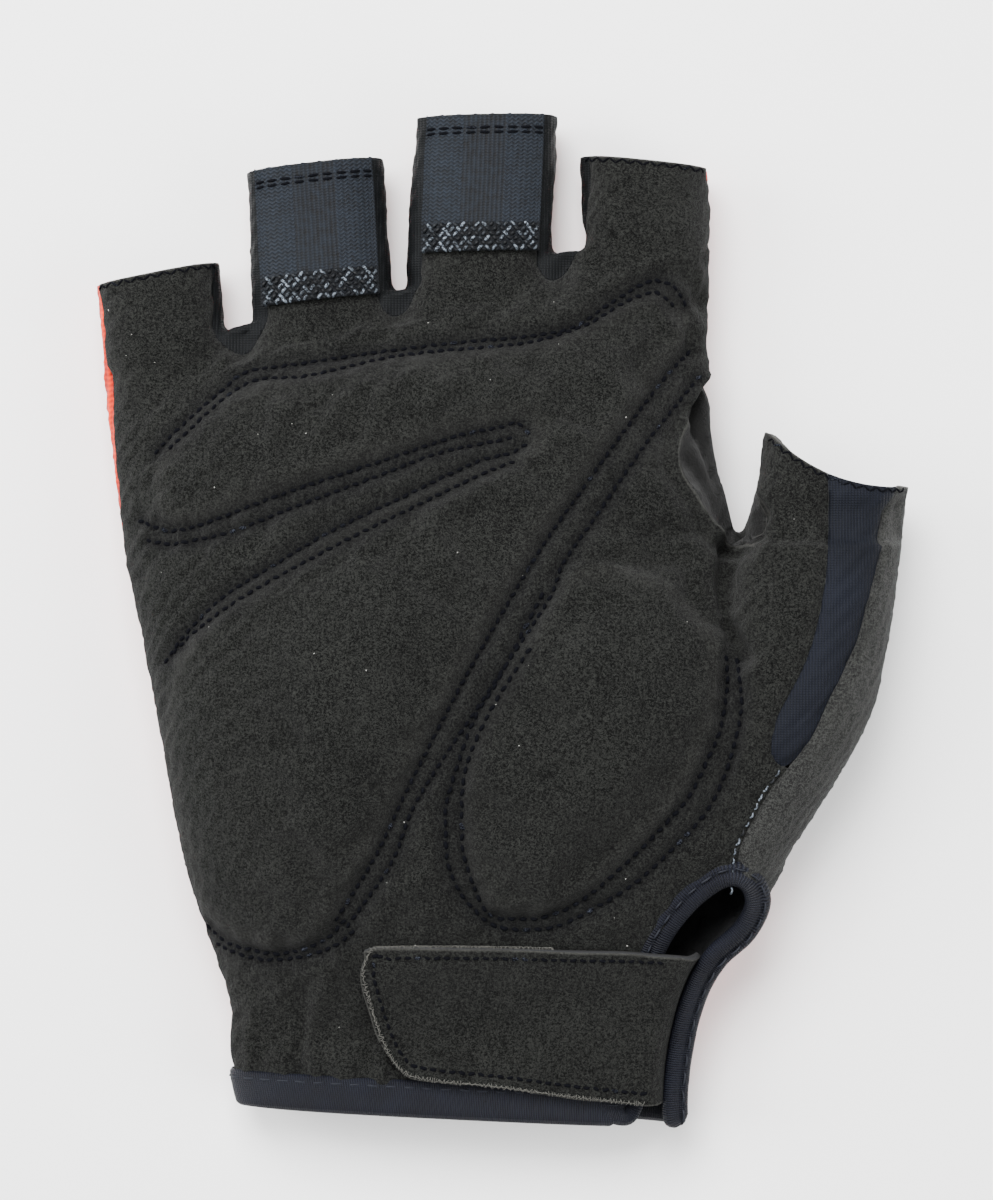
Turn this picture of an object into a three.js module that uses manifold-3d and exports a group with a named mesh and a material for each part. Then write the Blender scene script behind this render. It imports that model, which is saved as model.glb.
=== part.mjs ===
// A short-finger cycling glove for the right hand, lying on its back with the palm up.
// Millimetres. X runs from the little finger to the thumb, Y from the wrist to the fingertips, Z up
// out of the palm. The glove is a hollow bag: one tube for the hand, one for each finger and one for
// the thumb are joined, hollowed to the cloth's thickness and then cut along the seams into panels.
import * as THREE from "three";
import { mergeVertices } from "three/addons/utils/BufferGeometryUtils.js";
import Module from "manifold-3d";

const wasm = await Module();
wasm.setup();

// Driving sizes
const HAND_WIDTH = 99.2; // across the palm at the knuckles
const PALM_LENGTH = 142.7; // from the wrist hem to the roots of the middle finger
const HAND_HEIGHT = 27; // at the heel of the hand, with the glove lying flat
const FINGER_HEIGHT = 16; // of the finger stalls at their ends
const ROOT_RISE = 3; // how much higher a finger stall is where it leaves the hand
const FLOOR_PRESS = 0.6; // how far the rounded back is pressed flat by what it lies on
const WALL = 1.6; // thickness of every cloth panel
const SEAM_GAP = 0.3; // between two panels that are sewn together
const SEAM_LAP = 0.05; // by which the thumb back's two halves run into each other
const SEAM_ROLL = THREE.MathUtils.degToRad(2); // the side seam is higher on the little-finger side
const PAD_RISE = 1.7; // how far the foam pads lift the palm
const PAD_SLOPE = 1.8; // width of the pads' rounded shoulder
const FOURCHETTE_DEPTH = 5; // how far the strip between two fingers reaches below their roots
const FOURCHETTE_OVER = 2.1; // how far it shows on the front of the two middle fingers
const SIDE_DEPTH = 3.4; // how far it reaches in from the side of the outer fingers
const SIDE_STRIP = 0.56; // share of a finger's height that the strip covers where it stays on the side
const STRIP_CORNER = 0.35; // how far in the strip's rounded lower corners are, from 0 to 1
const TAB_WIDTH = 18.6; // of the pull tabs on the two middle fingers
const TAB_LENGTH = 22.2;
const TAB_THICKNESS = 1.1;
const BINDING_THICKNESS = 0.9;
const CUFF_BINDING_WIDTH = 5.6;
const SLIT_BINDING_WIDTH = 3.4;
const SLIT_LIFT = 3; // the slit stops this far above the side seam
const STRAP_THICKNESS = 1.4;
const HOOK_THICKNESS = 1;
const HOOK_INSET = 2.6; // how far the hook patch stays inside the strap's edge

// Drawing accuracy
const RING_POINTS = 24;
const HAND_ROUNDNESS = 2.5; // exponent of the hand's oval section: 2 is an ellipse
const FINGER_ROUNDNESS = 2.8;
const CURVE_STEPS = 2; // pieces between two points of a drawn outline
const FAR = 1.5 * PALM_LENGTH; // past everything
const OPEN_END = 8; // how far cuts run on past an open end
const MITRE_LIMIT = 0.5; // keeps the corners of a grown outline short

// The hand's sections from hem to knuckles. Across is a share of HAND_WIDTH and along one of
// PALM_LENGTH, for the end on the little-finger side and the end on the thumb side.
// Low and top are shares of HAND_HEIGHT.
const HAND_SECTIONS = [
  { across: -0.422, along: 0.034, thumbAcross: 0.301, thumbAlong: 0.01, low: 0.05, top: 0.6 },
  { across: -0.436, along: 0.082, thumbAcross: 0.304, thumbAlong: 0.082, low: 0.045, top: 0.6 },
  { across: -0.438, along: 0.143, thumbAcross: 0.32, thumbAlong: 0.138, low: 0.02, top: 0.64 },
  { across: -0.459, along: 0.194, thumbAcross: 0.359, thumbAlong: 0.186, low: 0, top: 0.72 },
  { across: -0.485, along: 0.25, thumbAcross: 0.427, thumbAlong: 0.25, low: 0, top: 0.82 },
  { across: -0.512, along: 0.312, thumbAcross: 0.472, thumbAlong: 0.312, low: 0, top: 0.92 },
  { across: -0.536, along: 0.401, thumbAcross: 0.488, thumbAlong: 0.39, low: 0, top: 0.98 },
  { across: -0.56, along: 0.491, thumbAcross: 0.465, thumbAlong: 0.48, low: 0, top: 1 },
  { across: -0.586, along: 0.581, thumbAcross: 0.425, thumbAlong: 0.575, low: 0, top: 0.97 },
  { across: -0.612, along: 0.67, thumbAcross: 0.39, thumbAlong: 0.67, low: 0, top: 0.91 },
  { across: -0.635, along: 0.794, thumbAcross: 0.348, thumbAlong: 0.827, low: 0, top: 0.8 },
  { across: -0.649, along: 0.876, thumbAcross: 0.349, thumbAlong: 1.039, low: 0.06, top: 0.58 },
];
const KNUCKLES = HAND_SECTIONS.at(-1);

// The finger stalls. Place is where the stall's middle stands on the line of the knuckles, from 0 on
// the little-finger side to 1. Widths and length are in millimetres. Lean turns the stall towards the
// thumb and slant turns its open end, both in degrees.
const FINGERS = [
  { name: "little", place: 0.103, rootWidth: 20.2, endWidth: 20, length: 11.6, lean: -5.4, slant: 11 },
  { name: "ring", place: 0.3635, rootWidth: 23, endWidth: 22, length: 23.2, lean: -3.5, slant: 6.3 },
  { name: "middle", place: 0.62, rootWidth: 23.7, endWidth: 22.9, length: 25, lean: 2.4, slant: 1.2 },
  { name: "index", place: 0.891, rootWidth: 21.3, endWidth: 20.3, length: 11.3, lean: 0, slant: -5.9 },
];
const ROOT_DEPTH = 18; // how far a stall starts inside the hand
const ROOT_TAPER = 0.8; // its width there, as a share of its width at the root

// The thumb stall's sections from inside the hand to its open end, in the shares of HAND_SECTIONS.
const THUMB_SECTIONS = [
  { across: 0.2, along: 0.28, thumbAcross: 0.42, thumbAlong: 0.255, low: 0.1, top: 0.74 },
  { across: 0.327, along: 0.469, thumbAcross: 0.588, thumbAlong: 0.446, low: 0.07, top: 0.94 },
  { across: 0.369, along: 0.581, thumbAcross: 0.631, thumbAlong: 0.547, low: 0.1, top: 0.94 },
  { across: 0.4, along: 0.687, thumbAcross: 0.654, thumbAlong: 0.659, low: 0.14, top: 0.9 },
  { across: 0.436, along: 0.793, thumbAcross: 0.667, thumbAlong: 0.731, low: 0.18, top: 0.82 },
];

// The side seam between the palm and the back: its height in millimetres at shares of PALM_LENGTH.
const SIDE_SEAM = [
  { along: -0.2, height: 6.2 },
  { along: 0.15, height: 6.8 },
  { along: 0.35, height: 9.7 },
  { along: 0.6, height: 10.8 },
  { along: 0.75, height: 12.1 },
  { along: 0.9, height: 10.5 },
  { along: 1.05, height: 9.7 },
  { along: 1.5, height: 9.4 },
];

// Outlines on the palm as [across, along], in the shares of HAND_SECTIONS.
const HEEL_AND_KNUCKLE_PAD = [
  [-0.56, 0.738], [-0.52, 0.794], [-0.444, 0.84], [-0.222, 0.878], [0.052, 0.899], [0.133, 0.915],
  [0.206, 0.943], [0.254, 0.957], [0.3, 0.94], [0.315, 0.905], [0.27, 0.855], [0.138, 0.731],
  [0.017, 0.603], [-0.091, 0.467], [-0.196, 0.32], [-0.259, 0.247], [-0.31, 0.213], [-0.402, 0.21],
  [-0.47, 0.242], [-0.506, 0.295], [-0.528, 0.36], [-0.541, 0.441], [-0.525, 0.53], [-0.477, 0.585],
  [-0.393, 0.628], [-0.157, 0.719], [0.017, 0.769], [0.046, 0.787], [0.02, 0.802], [-0.198, 0.757],
  [-0.349, 0.721], [-0.46, 0.692], [-0.54, 0.69],
];
const THUMB_PAD = [
  [0.101, 0.628], [0.03, 0.552], [-0.051, 0.446], [-0.064, 0.36], [-0.051, 0.3], [-0.01, 0.256],
  [0.06, 0.247], [0.165, 0.278], [0.246, 0.336], [0.32, 0.41], [0.357, 0.5], [0.35, 0.56],
  [0.29, 0.615], [0.19, 0.645],
];

// The wrist strap's outline, from its free end's upper corner round to the lower one.
const STRAP_OUTLINE = [
  [-0.219, 0.179], [-0.212, 0.205], [-0.186, 0.217], [0.085, 0.215], [0.314, 0.205], [0.302, 0.16],
  [0.275, 0.099], [0.268, 0.038], [0.165, 0.039], [0.004, 0.054], [-0.109, 0.062], [-0.157, 0.073],
  [-0.19, 0.11],
];
const HOOK_REACH = 0.1; // how far across the hook patch goes towards the thumb

// The slit that opens the wrist on the thumb side, from the palm's rounded corner up and back down.
const SLIT_OUTLINE = [
  [0.15, -0.03], [0.214, 0.015], [0.236, 0.048], [0.241, 0.087], [0.25, 0.165], [0.27, 0.216],
  [0.31, 0.256], [0.351, 0.28], [0.383, 0.287], [0.404, 0.276], [0.408, 0.256], [0.388, 0.231],
  [0.346, 0.205], [0.317, 0.172], [0.294, 0.121], [0.281, 0.065], [0.278, -0.03],
];
const FLAP_OUTLINE = [
  [0.236, -0.1], [0.238, 0.07], [0.262, 0.175], [0.33, 0.235], [0.395, 0.262], [0.7, 0.262], [0.7, -0.1],
];

// Seams of the thumb stall: both edges of its stretch strip and the seam that runs on to the slit.
const STRIP_PALM_EDGE = [
  [0.533, 0.84], [0.531, 0.744], [0.531, 0.674], [0.519, 0.599], [0.493, 0.535], [0.446, 0.47],
  [0.439, 0.43], [0.457, 0.408],
];
const STRIP_BACK_EDGE = [
  [0.457, 0.408], [0.498, 0.442], [0.538, 0.499], [0.58, 0.559], [0.601, 0.613], [0.627, 0.684],
  [0.644, 0.726], [0.66, 0.84],
];
const THUMB_WRIST_SEAM = [[0.457, 0.408], [0.436, 0.388], [0.415, 0.359], [0.39, 0.32], [0.385, 0.275]];
const THUMB_BACK_SEAM = [
  [0.43, 0.84], [0.396, 0.692], [0.362, 0.603], [0.351, 0.491], [0.375, 0.379], [0.423, 0.289],
  [0.44, 0.262],
];
const THUMB_BACK_END = [0.395, 0.262]; // where the thumb's back meets the slit
const PAST_THUMB = [[0.9, 0.262], [0.9, 0.84]]; // closes both outlines outside the thumb

// Frames and curves

// A point of the palm from its shares.
const spot = ([across, along]) => new THREE.Vector2(across * HAND_WIDTH, along * PALM_LENGTH);

// A smooth line through a few points of the palm.
const line = (shares) => new THREE.SplineCurve(shares.map(spot)).getPoints(CURVE_STEPS * (shares.length - 1));

// A smooth closed outline through a few points of the palm.
function loop(shares) {
  const points = shares.map(spot).map((p) => new THREE.Vector3(p.x, p.y, 0));
  const curve = new THREE.CatmullRomCurve3(points, true, "centripetal");
  return curve.getPoints(CURVE_STEPS * shares.length).slice(0, -1).map((p) => new THREE.Vector2(p.x, p.y));
}

// The outline moved outwards by a distance, or inwards if it is negative. Points that the move would
// fold over one another are dropped.
function grow(outline, distance) {
  const turn = THREE.ShapeUtils.isClockWise(outline) ? -1 : 1;
  const outwards = (p, q) => new THREE.Vector2(q.y - p.y, p.x - q.x).normalize().multiplyScalar(turn);
  let kept = outline;
  for (;;) {
    const after = (points, i) => points[(i + 1) % points.length];
    const moved = kept.map((point, i) => {
      const before = outwards(kept.at(i - 1), point);
      const next = outwards(point, after(kept, i));
      const mitre = before.clone().add(next).divideScalar(Math.max(1 + before.dot(next), MITRE_LIMIT));
      return point.clone().addScaledVector(mitre, distance);
    });
    const step = (points, i) => after(points, i).clone().sub(points[i]);
    const folded = kept.findIndex((_, i) => step(kept, i).dot(step(moved, i)) <= 0);
    if (folded < 0) return moved;
    kept = kept.filter((_, i) => i !== folded);
  }
}

// Solids

// A three.js geometry as a manifold solid.
function solid(geometry) {
  const bare = new THREE.BufferGeometry().setAttribute("position", geometry.getAttribute("position"));
  if (geometry.index) bare.setIndex(geometry.index);
  const merged = mergeVertices(bare, 1e-4);
  return new wasm.Manifold(
    new wasm.Mesh({
      numProp: 3,
      vertProperties: merged.attributes.position.array,
      triVerts: new Uint32Array(merged.index.array),
    }),
  );
}

// An upright prism over an outline.
function prism(outline, low = -FAR, high = FAR) {
  const geometry = new THREE.ExtrudeGeometry(new THREE.Shape(outline), {
    depth: high - low,
    steps: 1,
    bevelEnabled: false,
  });
  return solid(geometry.translate(0, 0, low));
}

// One oval section that stands on the line from a to b, grown by an offset on every side.
function section({ a, b, low, top, roundness }, offset) {
  const middle = a.clone().add(b).multiplyScalar(0.5);
  const across = b.clone().sub(a).normalize();
  const halfWidth = a.distanceTo(b) / 2 + offset;
  const halfHeight = (top - low) / 2 + offset;
  return Array.from({ length: RING_POINTS }, (_, i) => {
    const turn = (2 * Math.PI * i) / RING_POINTS;
    const bulge = (t) => Math.sign(t) * Math.abs(t) ** (2 / roundness);
    const side = halfWidth * bulge(Math.cos(turn));
    const z = (low + top) / 2 + halfHeight * bulge(Math.sin(turn));
    return [middle.x + across.x * side, middle.y + across.y * side, z];
  });
}

// A closed tube through sections, lengthened past its first and last one.
function tube(sections, offset, startExtra, endExtra) {
  const normal = ({ a, b }) => new THREE.Vector2(a.y - b.y, b.x - a.x).normalize();
  const shifted = (s, distance) => ({
    ...s,
    a: s.a.clone().addScaledVector(normal(s), distance),
    b: s.b.clone().addScaledVector(normal(s), distance),
  });
  const stations = sections.slice();
  stations[0] = shifted(stations[0], -startExtra);
  stations[stations.length - 1] = shifted(stations.at(-1), endExtra);
  const rings = stations.map((s) => section(s, offset));
  const corners = [];
  const quad = (p, q, r, s) => corners.push(...p, ...q, ...r, ...p, ...r, ...s);
  for (let k = 0; k + 1 < rings.length; k += 1) {
    for (let i = 0; i < RING_POINTS; i += 1) {
      const next = (i + 1) % RING_POINTS;
      quad(rings[k][i], rings[k + 1][i], rings[k + 1][next], rings[k][next]);
    }
  }
  const first = rings[0];
  const last = rings.at(-1);
  for (let i = 1; i + 1 < RING_POINTS; i += 1) {
    corners.push(...first[0], ...first[i], ...first[i + 1]);
    corners.push(...last[0], ...last[i + 1], ...last[i]);
  }
  const geometry = new THREE.BufferGeometry();
  return solid(geometry.setAttribute("position", new THREE.Float32BufferAttribute(corners, 3)));
}

const union = (solids) => solids.reduce((all, one) => all.add(one));

// Everything below a height.
function floor(height) {
  return solid(new THREE.BoxGeometry(2 * FAR, 2 * FAR, FAR).translate(0, 0, height - FAR / 2));
}

// Sections of the hand and the thumb, from their tables. A row whose low is 0 lies on the floor.
const fromTable = (rows) =>
  rows.map((row) => ({
    a: spot([row.across, row.along]),
    b: spot([row.thumbAcross, row.thumbAlong]),
    low: row.low === 0 ? -FLOOR_PRESS : row.low * HAND_HEIGHT,
    top: row.top * HAND_HEIGHT,
    roundness: HAND_ROUNDNESS,
  }));
const handSections = fromTable(HAND_SECTIONS);
const thumbSections = fromTable(THUMB_SECTIONS);

// Each finger stall's frame: its root and end points, its direction and the direction across it
const knuckleStart = spot([KNUCKLES.across, KNUCKLES.along]);
const knuckleEnd = spot([KNUCKLES.thumbAcross, KNUCKLES.thumbAlong]);
const stalls = FINGERS.map((finger) => {
  const lean = THREE.MathUtils.degToRad(finger.lean);
  const slant = THREE.MathUtils.degToRad(finger.slant);
  const root = knuckleStart.clone().lerp(knuckleEnd, finger.place);
  const along = new THREE.Vector2(Math.sin(lean), Math.cos(lean));
  const across = new THREE.Vector2(Math.cos(slant), Math.sin(slant));
  return { ...finger, root, along, across, end: root.clone().addScaledVector(along, finger.length) };
});

// The point of a stall at a distance before its end, moved across by a distance.
function stallPoint(stall, beforeEnd, side) {
  return stall.end.clone().addScaledVector(stall.along, -beforeEnd).addScaledVector(stall.across, side);
}

function stallSections(stall) {
  const at = (beforeEnd, width, low, top) => ({
    a: stallPoint(stall, beforeEnd, -width / 2),
    b: stallPoint(stall, beforeEnd, width / 2),
    low,
    top,
    roundness: FINGER_ROUNDNESS,
  });
  return [
    at(stall.length + ROOT_DEPTH, stall.rootWidth * ROOT_TAPER, ROOT_RISE, FINGER_HEIGHT),
    at(stall.length, stall.rootWidth, -FLOOR_PRESS, FINGER_HEIGHT + ROOT_RISE / 2),
    at(0, stall.endWidth, WALL / 2, FINGER_HEIGHT),
  ];
}

// The whole glove as one closed bag, grown by an offset, with its open ends lengthened by extra.
function bag(offset, extra) {
  const parts = [
    tube(handSections, offset, extra, offset),
    ...stalls.map((stall) => tube(stallSections(stall), offset, 0, extra)),
    tube(thumbSections, offset, 0, extra),
  ];
  return union(parts);
}
const skin = bag(0, 0).subtract(floor(0));
const hollow = bag(-WALL, OPEN_END).subtract(floor(WALL));
const cloth = skin.subtract(hollow);

// The space between two heights over the glove's skin, for what lies on it.
const layer = (from, to) => bag(to, OPEN_END).subtract(bag(from, 2 * OPEN_END));

// Everything above the side seam, with the seam moved up by a distance.
function aboveSeam(lift) {
  const seam = SIDE_SEAM.map(({ along, height }) => new THREE.Vector2(along * PALM_LENGTH, height + lift));
  const outline = [...seam, new THREE.Vector2(seam.at(-1).x, FAR), new THREE.Vector2(seam[0].x, FAR)];
  const geometry = new THREE.ExtrudeGeometry(new THREE.Shape(outline), {
    depth: 2 * FAR,
    steps: 1,
    bevelEnabled: false,
  });
  const upright = new THREE.Matrix4().makeBasis(
    new THREE.Vector3(0, 1, 0),
    new THREE.Vector3(0, 0, 1),
    new THREE.Vector3(1, 0, 0),
  );
  return solid(geometry.translate(0, 0, -FAR).applyMatrix4(upright).rotateY(SEAM_ROLL));
}

// The strips between two fingers. Each is a band round the gap: on the two middle fingers it shows
// on the front, and on the outer fingers it stays on the side.
function fourchetteRegion(left, right, extra) {
  const wraps = (stall) => stall.name === "ring" || stall.name === "middle";
  const over = (stall) => (wraps(stall) ? FOURCHETTE_OVER : SIDE_DEPTH);
  const leftTop = stallPoint(left, -2 * OPEN_END, left.endWidth / 2 - over(left));
  const leftRoot = stallPoint(left, left.length, left.rootWidth / 2 - over(left));
  const rightTop = stallPoint(right, -2 * OPEN_END, over(right) - right.endWidth / 2);
  const rightRoot = stallPoint(right, right.length, over(right) - right.rootWidth / 2);
  const middleTop = leftTop.clone().lerp(rightTop, 0.5);
  const down = left.along.clone().multiplyScalar(-FOURCHETTE_DEPTH);
  const bottom = leftRoot.clone().lerp(rightRoot, 0.5).add(down);
  const corner = (root) => root.clone().lerp(bottom, STRIP_CORNER).addScaledVector(down, STRIP_CORNER);
  const half = (outline, stall) => {
    const low = (FINGER_HEIGHT * (1 - SIDE_STRIP)) / 2 - extra;
    const high = wraps(stall) ? FAR : (FINGER_HEIGHT * (1 + SIDE_STRIP)) / 2 + extra;
    return prism(grow(outline, extra), low, high);
  };
  return union([
    half([leftTop, leftRoot, corner(leftRoot), bottom, middleTop], left),
    half([middleTop, bottom, corner(rightRoot), rightRoot, rightTop], right),
  ]);
}
const gaps = stalls.slice(1).map((right, i) => ({ left: stalls[i], right }));

// The thumb stall's stretch strip, and its back, which covers the stall's underside too
const stripOutline = [...line(STRIP_PALM_EDGE), ...line(STRIP_BACK_EDGE).slice(1)];
const thumbBackTop = [
  ...line(STRIP_BACK_EDGE).reverse(),
  ...line(THUMB_WRIST_SEAM).slice(1),
  ...[THUMB_BACK_END, ...PAST_THUMB].map(spot),
];
const thumbBackUnder = [...line(THUMB_BACK_SEAM), ...PAST_THUMB.map(spot)];
const stripRegion = (extra) => prism(grow(stripOutline, extra)).intersect(aboveSeam(-extra));
function thumbBackRegion(extra) {
  const top = prism(grow(thumbBackTop, extra)).intersect(aboveSeam(-extra - SEAM_LAP));
  const under = prism(grow(thumbBackUnder, extra)).subtract(aboveSeam(extra));
  return top.add(under);
}

// The slit is drawn to the folded edge of its binding, and the cloth ends a tape's thickness before it.
const tapeOuter = SEAM_GAP + BINDING_THICKNESS;
const slit = loop(SLIT_OUTLINE);
const slitCut = prism(grow(slit, tapeOuter)).intersect(aboveSeam(SLIT_LIFT));
const fourchetteCuts = union(gaps.map(({ left, right }) => fourchetteRegion(left, right, SEAM_GAP)));

// Palm panel, lifted by the foam pads under it
function padRelief(outline) {
  const shoulder = bag(PAD_RISE / 2, OPEN_END).intersect(prism(outline));
  const crown = bag(PAD_RISE, OPEN_END).intersect(prism(grow(outline, -PAD_SLOPE)));
  return shoulder.add(crown).subtract(hollow);
}
const pads = union([HEEL_AND_KNUCKLE_PAD, THUMB_PAD].map((shares) => padRelief(loop(shares))));
const palmPanel = cloth
  .add(pads)
  .intersect(aboveSeam(SEAM_GAP / 2))
  .subtract(prism(grow(FLAP_OUTLINE.map(spot), SEAM_GAP / 2)))
  .subtract(slitCut)
  .subtract(stripRegion(SEAM_GAP))
  .subtract(thumbBackRegion(SEAM_GAP))
  .subtract(fourchetteCuts);

// Back panel, with the flap that comes round the wrist to the slit
const flap = cloth.intersect(prism(grow(FLAP_OUTLINE.map(spot), -SEAM_GAP / 2)));
const backPanel = cloth
  .subtract(aboveSeam(-SEAM_GAP / 2))
  .add(flap)
  .subtract(slitCut)
  .subtract(thumbBackRegion(SEAM_GAP))
  .subtract(fourchetteCuts);

const thumbStrip = cloth.intersect(stripRegion(0)).subtract(thumbBackRegion(SEAM_GAP));
const thumbBack = cloth.intersect(thumbBackRegion(0)).subtract(slitCut);

// Bindings: folded tapes that cover the hem and the edges of the slit on both sides
const tape = bag(tapeOuter, tapeOuter).subtract(bag(-WALL - tapeOuter, OPEN_END)).subtract(floor(0));
const tapeChannel = bag(SEAM_GAP, SEAM_GAP).subtract(bag(-WALL - SEAM_GAP, OPEN_END));
const slitBand = prism(grow(slit, SLIT_BINDING_WIDTH)).intersect(aboveSeam(SLIT_LIFT));
const slitChannel = tapeChannel.subtract(prism(grow(slit, BINDING_THICKNESS)));
const slitBinding = tape.intersect(slitBand).subtract(prism(slit)).subtract(slitChannel);
const hem = handSections[0];
const hemUp = new THREE.Vector2(hem.a.y - hem.b.y, hem.b.x - hem.a.x).normalize();
const hemOut = hem.b.clone().sub(hem.a).normalize();
const hemCorner = (point, outwards, up) =>
  point.clone().addScaledVector(hemOut, outwards).addScaledVector(hemUp, up);
const hemBand = [
  hemCorner(hem.a, -OPEN_END, -OPEN_END),
  hemCorner(hem.b, OPEN_END, -OPEN_END),
  hemCorner(hem.b, OPEN_END, CUFF_BINDING_WIDTH - tapeOuter),
  hemCorner(hem.a, -OPEN_END, CUFF_BINDING_WIDTH - tapeOuter),
];
const cuffBinding = tape
  .intersect(prism(hemBand))
  .subtract(tapeChannel)
  .subtract(prism(grow(slit, SLIT_BINDING_WIDTH + SEAM_GAP)).intersect(aboveSeam(SLIT_LIFT - SEAM_GAP)));

// Wrist strap on its hook patch
const hookTop = SEAM_GAP + HOOK_THICKNESS;
const strapUnder = Math.max(tapeOuter, hookTop) + SEAM_GAP;
const strapOutline = loop(STRAP_OUTLINE);
const strap = layer(strapUnder, strapUnder + STRAP_THICKNESS)
  .intersect(prism(strapOutline))
  .intersect(aboveSeam(0));
const hookReach = HOOK_REACH * HAND_WIDTH;
const hookSide = [[-FAR, -FAR], [hookReach, -FAR], [hookReach, FAR], [-FAR, FAR]]
  .map(([x, y]) => new THREE.Vector2(x, y));
const hookPatch = layer(SEAM_GAP, hookTop)
  .intersect(prism(grow(strapOutline, -HOOK_INSET)))
  .intersect(prism(hookSide))
  .intersect(aboveSeam(0));

// Pull tabs, flat on the front of the two middle fingers
function pullTab(stall) {
  const half = TAB_WIDTH / 2;
  const outline = [
    stallPoint(stall, 0, -half),
    stallPoint(stall, 0, half),
    stallPoint(stall, TAB_LENGTH, half),
    stallPoint(stall, TAB_LENGTH, -half),
  ];
  return layer(SEAM_GAP, SEAM_GAP + TAB_THICKNESS).intersect(prism(outline)).intersect(aboveSeam(0));
}

// The scene graph
const suede = new THREE.MeshStandardMaterial({ color: 0x302f2d, roughness: 0.95 });
const paleSuede = new THREE.MeshStandardMaterial({ color: 0x4c4e4b, roughness: 0.95 });
const stretch = new THREE.MeshStandardMaterial({ color: 0x2c323c, roughness: 0.75 });
const sideCloth = new THREE.MeshStandardMaterial({ color: 0x181c20, roughness: 0.7 });
const backCloth = new THREE.MeshStandardMaterial({ color: 0xf04a1e, roughness: 0.8 });
const tapeCloth = new THREE.MeshStandardMaterial({ color: 0x262c3a, roughness: 0.6 });
const webbing = new THREE.MeshStandardMaterial({ color: 0x37404b, roughness: 0.6 });
const hookPlastic = new THREE.MeshStandardMaterial({ color: 0x15171b, roughness: 0.8 });

const glove = new THREE.Group();
function place(name, made, material) {
  const { vertProperties, triVerts, numProp } = made.getMesh();
  const geometry = new THREE.BufferGeometry();
  const buffer = new THREE.InterleavedBuffer(vertProperties, numProp);
  geometry.setAttribute("position", new THREE.InterleavedBufferAttribute(buffer, 3, 0));
  geometry.setIndex(new THREE.BufferAttribute(triVerts, 1));
  const mesh = new THREE.Mesh(geometry.toNonIndexed(), material);
  mesh.name = name;
  glove.add(mesh);
}
place("palm_panel", palmPanel, suede);
place("back_panel", backPanel, backCloth);
gaps.forEach(({ left, right }) => {
  const piece = cloth.intersect(fourchetteRegion(left, right, 0));
  place(`fourchette_${left.name}_${right.name}`, piece, sideCloth);
});
place("thumb_stretch_strip", thumbStrip, stretch);
place("thumb_back", thumbBack, paleSuede);
place("cuff_binding", cuffBinding, tapeCloth);
place("slit_binding", slitBinding, tapeCloth);
place("wrist_strap", strap, suede);
place("hook_patch", hookPatch, hookPlastic);
stalls
  .filter((stall) => stall.name === "ring" || stall.name === "middle")
  .forEach((stall) => place(`pull_tab_${stall.name}`, pullTab(stall), webbing));

// The origin is under the middle of the glove, on what it lies on.
const box = new THREE.Box3().setFromObject(glove);
const middle = box.getCenter(new THREE.Vector3());
glove.position.set(-middle.x, -middle.y, -box.min.z);

export default glove;
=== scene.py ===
# %% [markdown]
# # A short-finger cycling glove, lying palm up
# The glove is sewn from thin, soft panels: a suede palm with foam pads under it, a bright knitted
# back, stretch strips between the fingers and on the thumb, ribbed tapes round the wrist and two
# woven pull tabs. The packed model gives every piece its place. This script dresses it.

# %% Load the packed model
import math

import bpy
import numpy as np
from mathutils.bvhtree import BVHTree
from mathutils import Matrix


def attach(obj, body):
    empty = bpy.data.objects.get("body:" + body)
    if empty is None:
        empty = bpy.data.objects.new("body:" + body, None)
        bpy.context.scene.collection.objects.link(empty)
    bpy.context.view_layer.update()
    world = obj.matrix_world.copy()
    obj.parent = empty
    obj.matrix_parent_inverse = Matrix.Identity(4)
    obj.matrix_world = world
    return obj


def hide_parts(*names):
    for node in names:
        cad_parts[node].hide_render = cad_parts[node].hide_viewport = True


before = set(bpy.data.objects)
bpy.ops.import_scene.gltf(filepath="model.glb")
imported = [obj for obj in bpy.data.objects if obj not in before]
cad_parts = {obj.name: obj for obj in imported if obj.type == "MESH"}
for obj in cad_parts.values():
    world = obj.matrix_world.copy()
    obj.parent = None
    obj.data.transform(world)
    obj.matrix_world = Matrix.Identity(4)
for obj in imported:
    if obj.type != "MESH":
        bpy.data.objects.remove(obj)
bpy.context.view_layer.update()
print("nodes:", sorted(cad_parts))

# %% [markdown]
# ## The camera
# The photograph looks straight down at the glove through a long lens, so parallel edges stay
# parallel. A 120 mm lens at about 64 cm takes in 192 mm of glove from top to bottom.

# %% Camera straight above the palm
LENS = 120
SENSOR = 36
VIEW_HEIGHT = 0.192
PALM_LEVEL = 0.02
PICTURE_CENTRE = (-0.00074, 0.0037)
camera_data = bpy.data.cameras.new("photo_camera")
camera_data.lens = LENS
camera_data.sensor_width = SENSOR
camera_data.clip_start = 0.01
camera = bpy.data.objects.new("photo_camera", camera_data)
camera.location = (*PICTURE_CENTRE, PALM_LEVEL + VIEW_HEIGHT * LENS / SENSOR)
bpy.context.scene.collection.objects.link(camera)
bpy.context.scene.camera = camera
print("camera height:", round(camera.location.z, 3))

# %% [markdown]
# ## Places on the glove
# The packed model was drawn in shares of the hand's width and of the palm's length. The same
# shares place everything here, so nothing has to be fitted by eye.

# %% Shares to metres
HAND_WIDTH = 0.0992
PALM_LENGTH = 0.1427
HAND_HEIGHT = 0.027
WRIST_CORNER = np.array([-0.00054, -0.08241])
MM = 0.001


def spot(shares):
    """Points of the palm, in metres, from pairs of shares."""
    return np.asarray(shares, float) * (HAND_WIDTH, PALM_LENGTH) + WRIST_CORNER


print("knuckle of the middle finger at", spot([0.0, 1.0]).round(4))

# %% Smooth curves
CURVE_STEP = 0.8 * MM
CURVE_FINENESS = 16


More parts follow.
